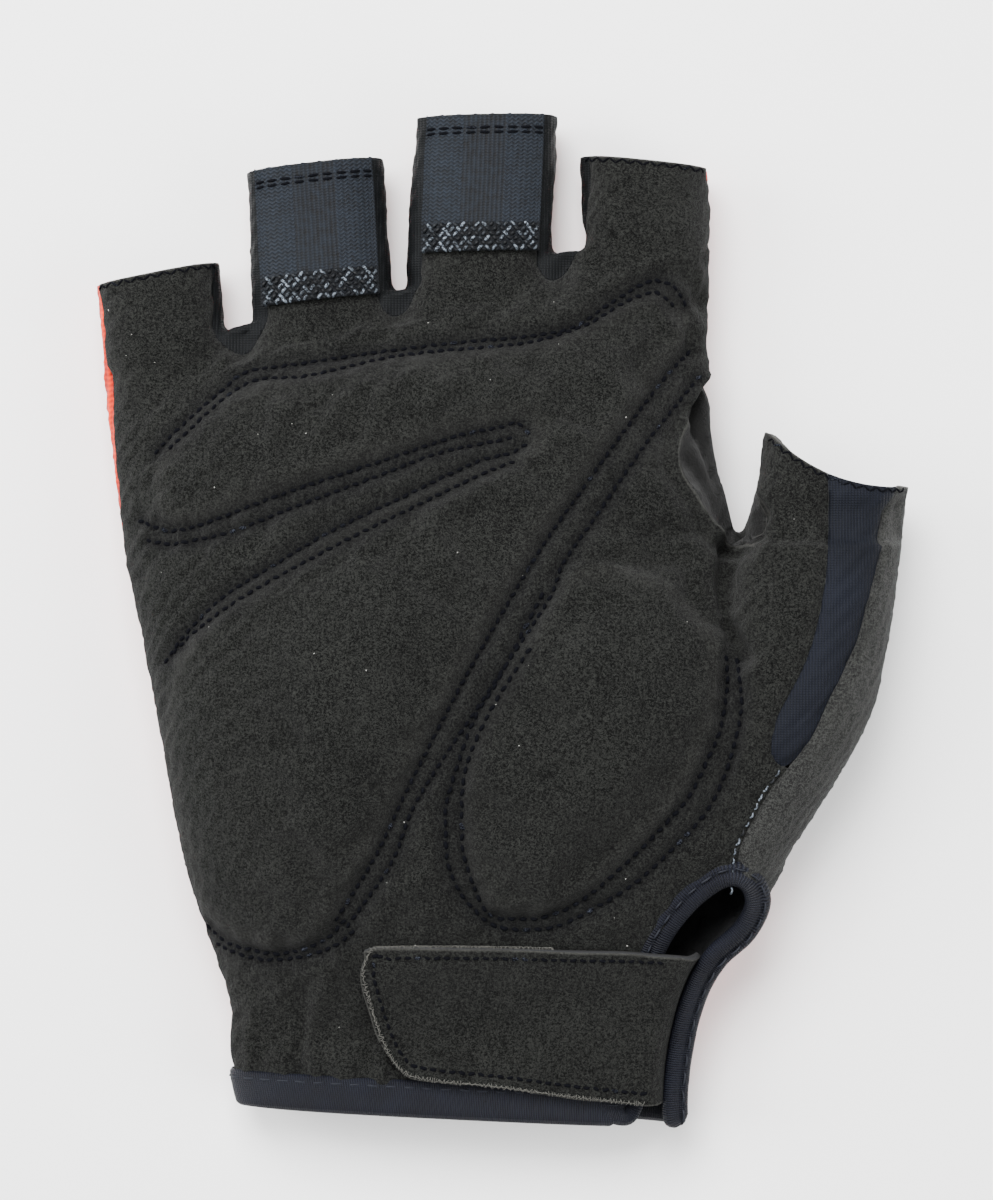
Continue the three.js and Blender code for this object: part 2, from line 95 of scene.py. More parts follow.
def smooth_rows(rows, at):
    """Rows of numbers between the given rows, on a Catmull-Rom curve through them."""
    rows = np.asarray(rows, float)
    padded = np.vstack([2 * rows[0] - rows[1], rows, 2 * rows[-1] - rows[-2]])
    whole = np.clip(np.floor(at).astype(int), 0, len(rows) - 2)
    t = (np.asarray(at) - whole)[:, None]
    a, b, c, d = (padded[whole + i] for i in range(4))
    square, cube = 2 * a - 5 * b + 4 * c - d, 3 * b - a - 3 * c + d
    return 0.5 * (2 * b + (c - a) * t + square * t**2 + cube * t**3)


def walked_along(path):
    """How far along a path each of its points is."""
    return np.r_[0, np.cumsum(np.linalg.norm(np.diff(path, axis=0), axis=1))]


def curve(points, closed=False, step=CURVE_STEP):
    """A smooth line through a few points, cut into equal steps."""
    points = np.asarray(points, float)
    if closed:
        points = np.vstack([points[-2:], points, points[:3]])
    share = np.linspace(0, len(points) - 1, CURVE_FINENESS * len(points))
    fine = smooth_rows(points, share)
    if closed:
        fine = fine[(share >= 2) & (share <= len(points) - 3)]
    walked = walked_along(fine)
    count = max(int(round(walked[-1] / step)), 2)
    even = np.linspace(0, walked[-1], count + 1)
    return np.stack([np.interp(even, walked, c) for c in fine.T], axis=1)


print("a curve over the palm has", len(curve(spot([(-0.4, 0.2), (0.0, 0.5), (0.4, 0.2)]))), "points")


# %% Distances on the palm
def line_distance(points, line):
    """How far points of the plane are from a line, and how far along it the nearest place is."""
    nearest = np.full(len(points), np.inf)
    along = np.zeros(len(points))
    walked = 0.0
    for a, b in zip(line[:-1], line[1:]):
        length = np.linalg.norm(b - a)
        t = np.clip((points - a) @ (b - a) / max(length**2, 1e-12), 0, 1)
        gap = np.linalg.norm(points - a - t[:, None] * (b - a), axis=1)
        closer = gap < nearest
        nearest[closer] = gap[closer]
        along[closer] = walked + t[closer] * length
        walked += length
    return nearest, along


def inside_distance(points, outline):
    """How far points are inside a closed outline. Outside it the number is negative."""
    closed = np.vstack([outline, outline[:1]])
    nearest, _ = line_distance(points, closed)
    crossings = np.zeros(len(points), int)
    for a, b in zip(closed[:-1], closed[1:]):
        between = (a[1] > points[:, 1]) != (b[1] > points[:, 1])
        slope = (b[0] - a[0]) / (b[1] - a[1]) if b[1] != a[1] else 0.0
        crossings += between & (points[:, 0] < a[0] + (points[:, 1] - a[1]) * slope)
    return np.where(crossings % 2, nearest, -nearest)


def ramp(values, low, high):
    """0 below low, 1 above high, and a soft step between."""
    t = np.clip((values - low) / (high - low), 0, 1)
    return t * t * (3 - 2 * t)


def hump(distance, width):
    """A soft hill or groove round a line."""
    return np.exp(-((distance / width) ** 2))


def wave(walked, length, phase=0.0):
    """A wave of this length along a line, between -1 and 1."""
    return np.sin(walked / length * 2 * math.pi + phase)


print("half way up a ramp:", ramp(0.5, 0, 1), "- one width from a hump:", hump(1.0, 1.0).round(3))


# %% [markdown]
# ## The skin of the glove
# A glove with nothing in it keeps the rounded, slightly flattened form that its panels were cut
# for. Tubes with oval sections stand for the hand, each finger and the thumb. A voxel remesh melts
# them into one bag, which gives the soft webs between the fingers that separate tubes can't have.

# %% The tubes' sections
# across and along on the little-finger side, the same on the thumb side, low and top of the hand
HAND_SECTIONS = [
    (-0.422, 0.034, 0.301, 0.010, 0.05, 0.60), (-0.436, 0.082, 0.304, 0.082, 0.045, 0.60),
    (-0.438, 0.143, 0.320, 0.138, 0.02, 0.64), (-0.459, 0.194, 0.359, 0.186, -0.022, 0.72),
    (-0.485, 0.250, 0.427, 0.250, -0.022, 0.82), (-0.512, 0.312, 0.472, 0.312, -0.022, 0.92),
    (-0.536, 0.401, 0.488, 0.390, -0.022, 0.98), (-0.560, 0.491, 0.465, 0.480, -0.022, 1.00),
    (-0.586, 0.581, 0.425, 0.575, -0.022, 0.97), (-0.612, 0.670, 0.390, 0.670, -0.022, 0.91),
    (-0.635, 0.794, 0.348, 0.827, -0.022, 0.80), (-0.649, 0.876, 0.349, 1.039, 0.06, 0.58),
]
THUMB_SECTIONS = [
    (0.200, 0.280, 0.420, 0.255, 0.10, 0.74), (0.327, 0.469, 0.588, 0.446, 0.07, 0.94),
    (0.369, 0.581, 0.631, 0.547, 0.10, 0.94), (0.400, 0.687, 0.654, 0.659, 0.14, 0.90),
    (0.436, 0.793, 0.667, 0.731, 0.18, 0.82),
]
# place on the line of the knuckles, width at the root and at the end, length, lean and slant
FINGERS = {
    "little": (0.103, 20.2, 20.0, 11.6, -5.4, 11.0),
    "ring": (0.3635, 23.0, 22.0, 23.2, -3.5, 6.3),
    "middle": (0.62, 23.7, 22.9, 25.0, 2.4, 1.2),
    "index": (0.891, 21.3, 20.3, 11.3, 0.0, -5.9),
}
FINGER_HEIGHT = 16 * MM
RING_POINTS = 96
OPEN_END = 5 * MM
HAND_ROUNDNESS, FINGER_ROUNDNESS = 2.5, 2.8


def sections_of(table, rows_between=6):
    """Dense sections of a tube: its two side points, its low and its top, in metres."""
    rows = smooth_rows(table, np.linspace(0, len(table) - 1, rows_between * (len(table) - 1) + 1))
    return [(spot(r[:2]), spot(r[2:4]), r[4] * HAND_HEIGHT, r[5] * HAND_HEIGHT) for r in rows]


knuckle_start, knuckle_end = spot(HAND_SECTIONS[-1][:2]), spot(HAND_SECTIONS[-1][2:4])
stalls = {}
for name, (place, root_width, end_width, length, lean, slant) in FINGERS.items():
    lean, slant = math.radians(lean), math.radians(slant)
    root = knuckle_start + place * (knuckle_end - knuckle_start)
    along = np.array([math.sin(lean), math.cos(lean)])
    across = np.array([math.cos(slant), math.sin(slant)])
    stalls[name] = {
        "root": root, "end": root + along * length * MM, "along": along, "across": across,
        "root_width": root_width * MM, "end_width": end_width * MM, "length": length * MM,
    }
gaps = [("little", "ring"), ("ring", "middle"), ("middle", "index")]
print("finger ends:", {n: s["end"].round(4).tolist() for n, s in stalls.items()})


# %% Tubes through the sections
def oval(section, roundness, turns):
    """Points of an oval section that stands on the line between its two side points."""
    a, b, low, top = section
    half, reach = (b - a) / 2, (top - low) / 2

    def bulge(t):
        return np.sign(t) * np.abs(t) ** (2 / roundness)

    flat = (a + b) / 2 + bulge(np.cos(turns))[:, None] * half
    return np.column_stack([flat, (low + top) / 2 + reach * bulge(np.sin(turns))])


def pushed(section, distance):
    """A section moved square to its own line."""
    a, b, low, top = section
    square = np.array([a[1] - b[1], b[0] - a[0]]) / np.linalg.norm(b - a)
    return (a + square * distance, b + square * distance, low, top)


def tube(sections, roundness):
    """A closed tube as points and faces."""
    turns = np.linspace(0, 2 * math.pi, RING_POINTS, endpoint=False)
    rings = [oval(s, roundness, turns) for s in sections]
    points = np.vstack(rings + [rings[0].mean(0)[None], rings[-1].mean(0)[None]])
    faces = []
    for k in range(len(rings) - 1):
        for i in range(RING_POINTS):
            j = (i + 1) % RING_POINTS
            row, up = k * RING_POINTS, (k + 1) * RING_POINTS
            faces.append((row + i, row + j, up + j, up + i))
    start, end = len(points) - 2, len(points) - 1
    top = (len(rings) - 1) * RING_POINTS
    for i in range(RING_POINTS):
        j = (i + 1) % RING_POINTS
        faces += [(start, j, i), (end, top + i, top + j)]
    return points, faces


def stall_tube(stall):
    """A finger's tube, from inside the hand to past its open end."""
    def at(before_end, width, low, top):
        middle = stall["end"] - stall["along"] * before_end
        return (middle - stall["across"] * width / 2, middle + stall["across"] * width / 2, low, top)

    length = stall["length"]
    inner = at(length + 18 * MM, 0.8 * stall["root_width"], 3 * MM, FINGER_HEIGHT)
    root = at(length, stall["root_width"], -0.6 * MM, FINGER_HEIGHT + 1.5 * MM)
    end = at(0, stall["end_width"], 0.8 * MM, FINGER_HEIGHT)
    return tube([inner, root, end, pushed(end, OPEN_END)], FINGER_ROUNDNESS)


hand_sections, thumb_sections = sections_of(HAND_SECTIONS), sections_of(THUMB_SECTIONS)
hand_tube = tube([pushed(hand_sections[0], -OPEN_END)] + hand_sections, HAND_ROUNDNESS)
thumb_tube = tube(thumb_sections + [pushed(thumb_sections[-1], OPEN_END)], HAND_ROUNDNESS)
tubes = [hand_tube, thumb_tube] + [stall_tube(s) for s in stalls.values()]
print("tubes:", len(tubes))

# %% Melt the tubes into one skin
VOXEL = 0.75 * MM


def mesh_object(name, points, faces, edges=()):
    """A new object from points and faces or edges, smooth shaded, at the origin."""
    mesh = bpy.data.meshes.new(name)
    mesh.from_pydata(np.asarray(points).tolist(), edges, faces)
    mesh.polygons.foreach_set("use_smooth", [True] * len(mesh.polygons))
    made = bpy.data.objects.new(name, mesh)
    bpy.context.scene.collection.objects.link(made)
    return made


def applied(thing):
    """The object with its modifiers made part of its mesh."""
    bpy.context.view_layer.update()
    seen = thing.evaluated_get(bpy.context.evaluated_depsgraph_get())
    mesh = bpy.data.meshes.new_from_object(seen)
    thing.modifiers.clear()
    thing.data = mesh
    return thing


def triangles_of(mesh):
    """A mesh's points and triangles as arrays."""
    mesh.calc_loop_triangles()
    points = np.empty(len(mesh.vertices) * 3)
    mesh.vertices.foreach_get("co", points)
    tris = np.empty(len(mesh.loop_triangles) * 3, int)
    mesh.loop_triangles.foreach_get("vertices", tris)
    return points.reshape(-1, 3), tris.reshape(-1, 3)


def remeshed(lump, voxel):
    """The object with one closed surface of even triangles in place of its own."""
    remesh = lump.modifiers.new("voxels", "REMESH")
    remesh.mode = "VOXEL"
    remesh.voxel_size = voxel
    return applied(lump)


def melted(parts, voxel):
    """Overlapping closed tubes as one closed surface."""
    points, faces, start = [], [], 0
    for part_points, part_faces in parts:
        points.append(part_points)
        faces += [tuple(start + i for i in f) for f in part_faces]
        start += len(part_points)
    lump = mesh_object("melt", np.vstack(points), faces)
    result = triangles_of(remeshed(lump, voxel).data)
    bpy.data.objects.remove(lump)
    return result


skin_points, skin_tris = melted(tubes, VOXEL)
print("skin:", len(skin_points), "points", len(skin_tris), "triangles")


# %% Smooth the skin and press its back flat
FORTH, BACK = 0.5, -0.52
PRESSED, FLOOR_GAP = 0.4 * MM, 0.05 * MM


def averager(tris, count):
    """A function that gives each point the mean of its neighbours' rows of numbers."""
    edges = np.unique(np.sort(tris[:, [0, 1, 1, 2, 2, 0]].reshape(-1, 2), axis=1), axis=0)
    ends, others = np.r_[edges[:, 0], edges[:, 1]], np.r_[edges[:, 1], edges[:, 0]]
    degree = np.bincount(ends, minlength=count)[:, None]
    return lambda rows: np.stack([np.bincount(ends, c[others], count) for c in rows.T], axis=1) / degree


def even_out(points, tris, rounds):
    """Moves points towards their neighbours' middle and then back, so that nothing shrinks."""
    mean = averager(tris, len(points))
    for i in range(rounds):
        points = points + (FORTH if i % 2 == 0 else BACK) * (mean(points) - points)
    return points


def spread(values, tris, rounds):
    """Numbers of the points, averaged with their neighbours' again and again."""
    mean = averager(tris, len(values))
    for _ in range(rounds):
        values = mean(values)
    return values


def unit(vectors):
    """The same directions, each one metre long."""
    return vectors / np.maximum(np.linalg.norm(vectors, axis=-1, keepdims=True), 1e-12)


def normals_of(points, tris):
    """One outward normal for each point."""
    a, b, c = (points[tris[:, i]] for i in range(3))
    faces = np.cross(b - a, c - a)
    sums = [sum(np.bincount(tris[:, k], faces[:, c], len(points)) for k in range(3)) for c in range(3)]
    return unit(np.stack(sums, axis=1))


skin_points = even_out(skin_points, skin_tris, 14)
skin_points[:, 2] = np.maximum(skin_points[:, 2], PRESSED)
skin_points = even_out(skin_points, skin_tris, 4)
print("skin height:", skin_points[:, 2].min().round(5), "to", skin_points[:, 2].max().round(5))

# %% [markdown]
# ## Seams and openings
# Every panel ends at a seam. A seam is written as a number for each point of the skin that is zero
# on the seam, above zero on one side and below zero on the other. Cutting triangles where the
# number changes its sign gives clean panel edges at any angle to the mesh.

# %% Outlines of the panels
SIDE_SEAM = [
    (-0.2, 6.2), (0.15, 6.8), (0.35, 9.7), (0.6, 10.8), (0.75, 12.1), (0.9, 10.5), (1.05, 9.7), (1.5, 9.4),
]
STRIP_PALM_EDGE = [
    (0.533, 0.84), (0.531, 0.744), (0.531, 0.674), (0.519, 0.599), (0.493, 0.535), (0.446, 0.47),
    (0.439, 0.43), (0.457, 0.408),
]
STRIP_BACK_EDGE = [
    (0.457, 0.408), (0.498, 0.442), (0.538, 0.499), (0.58, 0.559), (0.601, 0.613), (0.627, 0.684),
    (0.644, 0.726), (0.66, 0.84),
]
THUMB_WRIST_SEAM = [(0.457, 0.408), (0.436, 0.388), (0.415, 0.359), (0.39, 0.32), (0.385, 0.275)]
THUMB_BACK_SEAM = [
    (0.40, 0.90), (0.325, 0.84), (0.32, 0.74), (0.345, 0.66), (0.351, 0.491), (0.375, 0.379), (0.423, 0.289),
    (0.44, 0.262),
]
PAST_THUMB = [(0.9, 0.262), (0.9, 0.84)]
WEB_EDGE = [
    (0.40, 0.90), (0.352, 0.855), (0.318, 0.81), (0.295, 0.775), (0.296, 0.75), (0.325, 0.722),
    (0.352, 0.69), (0.385, 0.672), (0.43, 0.665),
]
SLIT = [
    (0.15, -0.03), (0.214, 0.015), (0.236, 0.048), (0.241, 0.087), (0.25, 0.165), (0.27, 0.216),
    (0.31, 0.256), (0.351, 0.28), (0.383, 0.287), (0.404, 0.276), (0.408, 0.256), (0.388, 0.231),
    (0.346, 0.205), (0.317, 0.172), (0.294, 0.121), (0.281, 0.065), (0.278, -0.03),
]
FLAP = [
    (0.236, -0.1), (0.238, 0.07), (0.262, 0.175), (0.33, 0.235), (0.395, 0.262), (0.7, 0.262), (0.7, -0.1),
]
side_seam = smooth_rows(SIDE_SEAM, np.linspace(0, len(SIDE_SEAM) - 1, 80))
strip_outline = np.vstack([curve(spot(STRIP_PALM_EDGE)), curve(spot(STRIP_BACK_EDGE))[1:]])
thumb_top_outline = np.vstack([
    curve(spot(STRIP_BACK_EDGE))[::-1], curve(spot(THUMB_WRIST_SEAM))[1:],
    spot([(0.395, 0.262)] + PAST_THUMB),
])
thumb_under_outline = np.vstack([curve(spot(THUMB_BACK_SEAM)), spot(PAST_THUMB)])
web_outline = np.vstack([curve(spot(WEB_EDGE)), spot([(0.9, 0.665), (0.9, 0.9)])])
slit_outline = curve(spot(SLIT))
flap_outline = spot(FLAP)
print("slit is", walked_along(slit_outline)[-1].round(3), "m round")

# %% The side seam
SEAM_ROLL = math.radians(2)


def seam_side(points):
    """Above the side seam, in metres.

    The seam runs lower on the little finger's side and beside the index finger's root, and a
    little higher at the index finger's end.
    """
    along = (points[:, 1] - WRIST_CORNER[1]) / PALM_LENGTH
    height = np.interp(along, side_seam[:, 0], side_seam[:, 1]) * MM
    index_side = ramp(points[:, 0], 20 * MM, 28 * MM) * ramp(points[:, 1], 30 * MM, 36 * MM)
    index_end = ramp(points[:, 1], 70.5 * MM, 73.5 * MM)
    height -= 1.7 * MM * index_side * (1 - index_end)
    height += 1.0 * MM * index_side * index_end
    little_side = ramp(-points[:, 0], 30 * MM, 40 * MM)
    height -= 1.5 * MM * little_side * (1 - 0.8 * ramp(points[:, 1], 43 * MM, 47 * MM))
    return points[:, 2] - height + (points[:, 0] - WRIST_CORNER[0]) * math.tan(SEAM_ROLL)


print("points above the side seam:", int((seam_side(skin_points) > 0).sum()))

# %% The hem and the open ends
THUMB_SAG = 3.0 * MM
END_MARGIN = 1.5 * MM


def end_corners(stall):
    """The two corners of a finger's open end."""
    half = stall["across"] * stall["end_width"] / 2
    return stall["end"] - half, stall["end"] + half


def before_ends(points):
    """Above zero where the cloth hasn't come to the hem or to an open end yet."""
    keep = np.full(len(points), np.inf)
    ends = [end_corners(s) for s in stalls.values()]
    sags = [0.0] * len(ends) + [THUMB_SAG, 0.0]
    ends += [thumb_sections[-1][:2], hand_sections[0][1::-1]]
    for (a, b), sag in zip(ends, sags):
        across = (b - a) / np.linalg.norm(b - a)
        square = np.array([-across[1], across[0]])
        rest = points[:, :2] - (a + b) / 2
        half = np.linalg.norm(b - a) / 2
        from_middle = np.minimum(np.abs(rest @ across) / half, 1)
        beyond = rest @ square + sag * (1 - from_middle**2)
        side = np.abs(rest @ across) - half - END_MARGIN
        keep = np.minimum(keep, np.maximum(-beyond, side))
    return keep


print("points before the hem and the open ends:", int((before_ends(skin_points) > 0).sum()))

# %% The strips between the fingers
WRAPPED_FINGERS = {"ring", "middle"}
# how far a strip reaches over a wrapped finger, and over the end and the root of another one
OVER_WRAPPED, OVER_END, OVER_ROOT = 2.1 * MM, 3.4 * MM, 0.9 * MM
# how far it goes past the fingers' ends and past their roots, in millimetres
PAST_END, PAST_ROOT = 12, 6.5
STRIP_LOW, STRIP_TOP = 0.22, 0.78


def strip_between(points, left, right):
    """Inside the stretch strip between two fingers: a band round the gap, past its lower end."""
    over_end, over_root = (
        {name: OVER_WRAPPED if name in WRAPPED_FINGERS else over for name in (left, right)}
        for over in (OVER_END, OVER_ROOT)
    )
    a, b = stalls[left], stalls[right]
    left_top = a["end"] + a["along"] * PAST_END * MM + a["across"] * (a["end_width"] / 2 - over_end[left])
    left_root = a["root"] + a["across"] * (a["root_width"] / 2 - over_root[left])
    right_top = b["end"] + b["along"] * PAST_END * MM - b["across"] * (b["end_width"] / 2 - over_end[right])
    right_root = b["root"] - b["across"] * (b["root_width"] / 2 - over_root[right])
    middle = (left_root + right_root) / 2
    bottom = middle - a["along"] * PAST_ROOT * MM
    edge = curve([left_top, left_root, 0.5 * left_root + 0.5 * bottom, bottom,
                  0.5 * right_root + 0.5 * bottom, right_root, right_top])
    inside = inside_distance(points[:, :2], edge)
    towards_right = (points[:, :2] - middle) @ a["across"]
    past_root = (points[:, :2] - middle) @ a["along"]
    cap = FINGER_HEIGHT * STRIP_TOP - points[:, 2] + 12 * MM * (1 - ramp(past_root, -1 * MM, 2.5 * MM))
    for name, side in ((left, -towards_right), (right, towards_right)):
        if name not in WRAPPED_FINGERS:
            inside = np.where(side > 0, np.minimum(inside, cap), inside)
    return np.minimum(inside, points[:, 2] - FINGER_HEIGHT * STRIP_LOW)


print("points of the first strip:", int((strip_between(skin_points, *gaps[0]) > 0).sum()))


# %% [markdown]
# ## Stitch rows
# Double rows of dark stitches hold the foam pads in place. The rows are read as shares along the
# palm, in the order in which a hand would sew them.

# %% Rows on the palm
ROWS = {
    "channel_upper": [
        (-0.578, .692), (-.54, .682), (-.51, .682), (-.46, .692), (-.349, .721), (-.198, .756),
        (-.069, .786), (.006, .797), (.03, .802), (.048, .791),
    ],
    "channel_upper_inner": [
        (-.564, .67), (-.528, .666), (-.491, .67), (-.427, .68), (-.331, .706), (-.196, .741),
        (-.102, .766), (-.04, .776), (.019, .784),
    ],
    "channel_lower": [
        (-.535, .535), (-.51, .559), (-.475, .585), (-.43, .612), (-.369, .638), (-.273, .678),
        (-.156, .717), (-.04, .756), (.019, .767), (.043, .776),
    ],
    "channel_lower_inner": [
        (-.52, .546), (-.49, .566), (-.441, .592), (-.369, .623), (-.254, .666), (-.141, .705),
        (-.028, .743), (.023, .757),
    ],
    "knuckles": [
        (-.552, .77), (-.523, .791), (-.444, .84), (-.407, .86), (-.331, .868), (-.225, .879),
        (-.077, .892), (.052, .9), (.125, .911), (.183, .938), (.248, .963), (.286, .956),
        (.304, .938),
    ],
    "knuckles_inner": [
        (-.528, .775), (-.41, .845), (-.307, .855), (-.157, .878), (.007, .889), (.077, .897),
        (.149, .915), (.206, .939), (.254, .95), (.283, .937),
    ],
    "heel": [
        (.31, .883), (.269, .852), (.202, .791), (.14, .731), (.075, .667), (.019, .603),
        (-.057, .511), (-.143, .395), (-.196, .318), (-.259, .247),
    ],
    "heel_inner": [
        (.327, .855), (.294, .827), (.236, .776), (.156, .695), (.104, .643), (.081, .603),
        (-.01, .507), (-.127, .383), (-.17, .311), (-.241, .239),
    ],
    "heel_end": [
        (-.472, .233), (-.44, .216), (-.402, .209), (-.357, .205), (-.31, .212), (-.273, .225),
        (-.249, .243),
    ],
    "heel_end_outer": [
        (-.456, .213), (-.414, .202), (-.362, .198), (-.306, .204), (-.259, .217), (-.235, .231),
    ],
}
DOTTED_ROWS = {
    "thumb_pad": [
        (.07, .608), (.001, .515), (-.04, .467), (-.08, .383), (-.083, .346), (-.08, .311),
        (-.062, .279), (-.04, .259), (-.006, .239), (.046, .234), (.099, .239), (.156, .259),
        (.22, .287), (.283, .327), (.335, .367), (.364, .407), (.381, .447), (.391, .487),
        (.385, .535),
    ],
    "thumb_pad_inner": [
        (.049, .547), (-.012, .48), (-.052, .413), (-.057, .343), (-.051, .311), (-.017, .254),
        (.03, .247), (.075, .249), (.133, .267), (.207, .311), (.265, .351), (.306, .383),
        (.335, .423), (.357, .459), (.369, .507), (.367, .538),
    ],
}
HEEL_AND_KNUCKLE_PAD = [
    (-.56, .738), (-.52, .794), (-.444, .84), (-.222, .878), (.052, .899), (.133, .915), (.206, .943),
    (.254, .957), (.3, .94), (.315, .905), (.27, .855), (.138, .731), (.017, .603), (-.091, .467),
    (-.196, .32), (-.259, .247), (-.31, .213), (-.402, .21), (-.47, .242), (-.506, .295), (-.528, .36),
    (-.541, .441), (-.525, .53), (-.477, .585), (-.393, .628), (-.157, .719), (.017, .769), (.046, .787),
    (.02, .802), (-.198, .757), (-.349, .721), (-.46, .692), (-.54, .69),
]
THUMB_PAD = [
    (.101, .628), (.03, .552), (-.051, .446), (-.064, .36), (-.051, .3), (-.01, .256), (.06, .247),
    (.165, .278), (.246, .336), (.32, .41), (.357, .5), (.35, .56), (.29, .615), (.19, .645),
]
rows = {name: curve(spot(points)) for name, points in {**ROWS, **DOTTED_ROWS}.items()}
print("rows sewn:", len(rows))

# %% [markdown]
# ## Pads, grooves and folds
# Foam lifts the suede between the rows, each row pulls it down again, and the sewing gathers it a
# little, which shows as soft waves beside the thread. All of it is moved along the skin's normals.

# %% Soft unevenness
def ripple(points, size, seed):
    """A smooth, uneven field between about -1 and 1, from a few crossing waves."""
    chance = np.random.default_rng(seed)
    total = np.zeros(len(points))
    for _ in range(9):
        direction = chance.normal(size=3)
        direction /= np.linalg.norm(direction)
        length = size * chance.uniform(0.7, 1.6)
        total += np.sin(points @ direction * 2 * math.pi / length + chance.uniform(0, 2 * math.pi))
    return total / 3


print("ripple at the wrist's corner:", ripple(np.zeros((1, 3)), 24 * MM, 3).round(3))


# %% Lift the pads and pull down the rows
PAD_RISE = 1.15 * MM
ROW_NOTCH, ROW_VALLEY = 0.34 * MM, 0.22 * MM
skin_normals = normals_of(skin_points, skin_tris)
flat_points = skin_points[:, :2]
facing_up = ramp(skin_normals[:, 2], 0.05, 0.45) * ramp(seam_side(skin_points), -1 * MM, 2 * MM)
lift = np.zeros(len(skin_points))
pad_depth = np.full(len(skin_points), -1.0)
for outline in (HEEL_AND_KNUCKLE_PAD, THUMB_PAD):
    depth = inside_distance(flat_points, curve(spot(outline), closed=True))
    pad_depth = np.maximum(pad_depth, depth)
lift += np.where(pad_depth > 0, PAD_RISE * (1 - np.exp(-pad_depth / (2.8 * MM))), 0)
lift += 0.5 * MM * ramp(pad_depth, 1 * MM, 18 * MM)
row_distance = np.full(len(skin_points), 1.0)
for number, line in enumerate(rows.values()):
    distance, walked = line_distance(flat_points, line)
    row_distance = np.minimum(row_distance, distance)
    waves = wave(walked, 5.2 * MM, number) + 0.6 * wave(walked, 3.1 * MM, 2 * number)
    lift += 0.11 * MM * waves * hump(distance - 1.6 * MM, 1.7 * MM)
lift -= ROW_NOTCH * hump(row_distance, 0.8 * MM) + ROW_VALLEY * hump(row_distance, 2.4 * MM)
print("pads and rows move the suede by", lift.min().round(5), "to", lift.max().round(5))

# %% Folds, puckers and gathers
CREASE = [(.399, .70), (.385, .67), (.37, .649), (.367, .599), (.373, .57), (.394, .541)]
WEB_FOLD = [(.315, .80), (.293, .762), (.327, .726), (.354, .687), (.392, .672)]
WEB_TUCK = [(.345, .835), (.352, .78), (.385, .735), (.42, .70)]
PUCKERS = [(.285, .955), (.315, .93), (.333, .90), (.34, .86), (.327, .82)]
crease, _ = line_distance(flat_points, curve(spot(CREASE)))
lift += -1.5 * MM * hump(crease, 1.3 * MM) + 0.8 * MM * hump(crease - 3.2 * MM, 2 * MM)
web_fold, _ = line_distance(flat_points, curve(spot(WEB_FOLD)))
lift += 0.9 * MM * hump(web_fold, 1.2 * MM) - 0.9 * MM * hump(web_fold - 2.2 * MM, 1.3 * MM)
web_tuck, _ = line_distance(flat_points, curve(spot(WEB_TUCK)))
lift -= 1.4 * MM * hump(web_tuck, 1.4 * MM)
puckers, pucker_walk = line_distance(flat_points, curve(spot(PUCKERS)))
lift += 0.16 * MM * wave(pucker_walk, 2.5 * MM) * hump(puckers, 2.6 * MM)
lift += 0.3 * MM * hump(puckers, 1.2 * MM) - 0.3 * MM * hump(puckers - 2.4 * MM, 1.2 * MM)
hem_gap, hem_walk = line_distance(flat_points, spot([HAND_SECTIONS[0][:2], HAND_SECTIONS[0][2:4]]))
gathers = wave(hem_walk, 5.8 * MM, 1.5 * np.sin(hem_walk / (17 * MM))) + 0.5 * wave(hem_walk, 3.7 * MM)
lift += 0.3 * MM * gathers * ramp(hem_gap, 3 * MM, 6 * MM) * (1 - ramp(hem_gap, 9 * MM, 20 * MM))
lift += 0.22 * MM * ripple(skin_points, 24 * MM, 3) + 0.09 * MM * ripple(skin_points, 8 * MM, 5)
for left, right in gaps:
    middle = (stalls[left]["root"] + stalls[right]["root"]) / 2
    away = flat_points - (middle - (0, 2.5 * MM))
    lift -= 1.6 * MM * np.exp(-(away[:, 0] / (2.4 * MM)) ** 2 - (away[:, 1] / (3.0 * MM)) ** 2)
print("with the folds it moves by", lift.min().round(5), "to", lift.max().round(5))

# %% The thumb's web, the flap and the loose back
# the glove's sides begin and end at these distances from its middle
SIDES = (34 * MM, 42 * MM)
web_depth = inside_distance(flat_points, web_outline)
lift -= 1.3 * MM * ramp(web_depth, -0.2 * MM, 1.0 * MM) * (1 - ramp(web_depth, 5 * MM, 9 * MM))
lift += 0.5 * MM * hump(web_depth + 1.2 * MM, 1.3 * MM) * ramp(flat_points[:, 1], 12 * MM, 18 * MM)
flap_gap = inside_distance(flat_points, flap_outline)
lift += 1.1 * MM * ramp(flap_gap, -2 * MM, 1 * MM) * hump(np.maximum(flap_gap, 0), 7 * MM)
skin_points = skin_points + skin_normals * (lift * facing_up)[:, None]
under = (1 - facing_up) * ramp(skin_points[:, 2], 1 * MM, 4 * MM)
loose = 0.3 * MM * ripple(skin_points, 20 * MM, 11) + 0.12 * MM * ripple(skin_points, 7 * MM, 12)
loose *= 1 - 0.8 * ramp(np.abs(skin_points[:, 0]), *SIDES)
skin_points = skin_points + skin_normals * (loose * under)[:, None]
skin_points[:, 2] = np.maximum(skin_points[:, 2], FLOOR_GAP)
print("top of the palm:", skin_points[:, 2].max().round(4))


# %% [markdown]
# ## Let the pads swell
# Foam and trapped air push the cloth out between its seams, and the seams hold it back. A cloth
# simulation finds that balance: a coarse copy of the skin is pinned along every seam and row,
# blown up a little and given slightly too much cloth, so that it gathers where it is held. How far
# each point moved is then carried over to the fine skin.

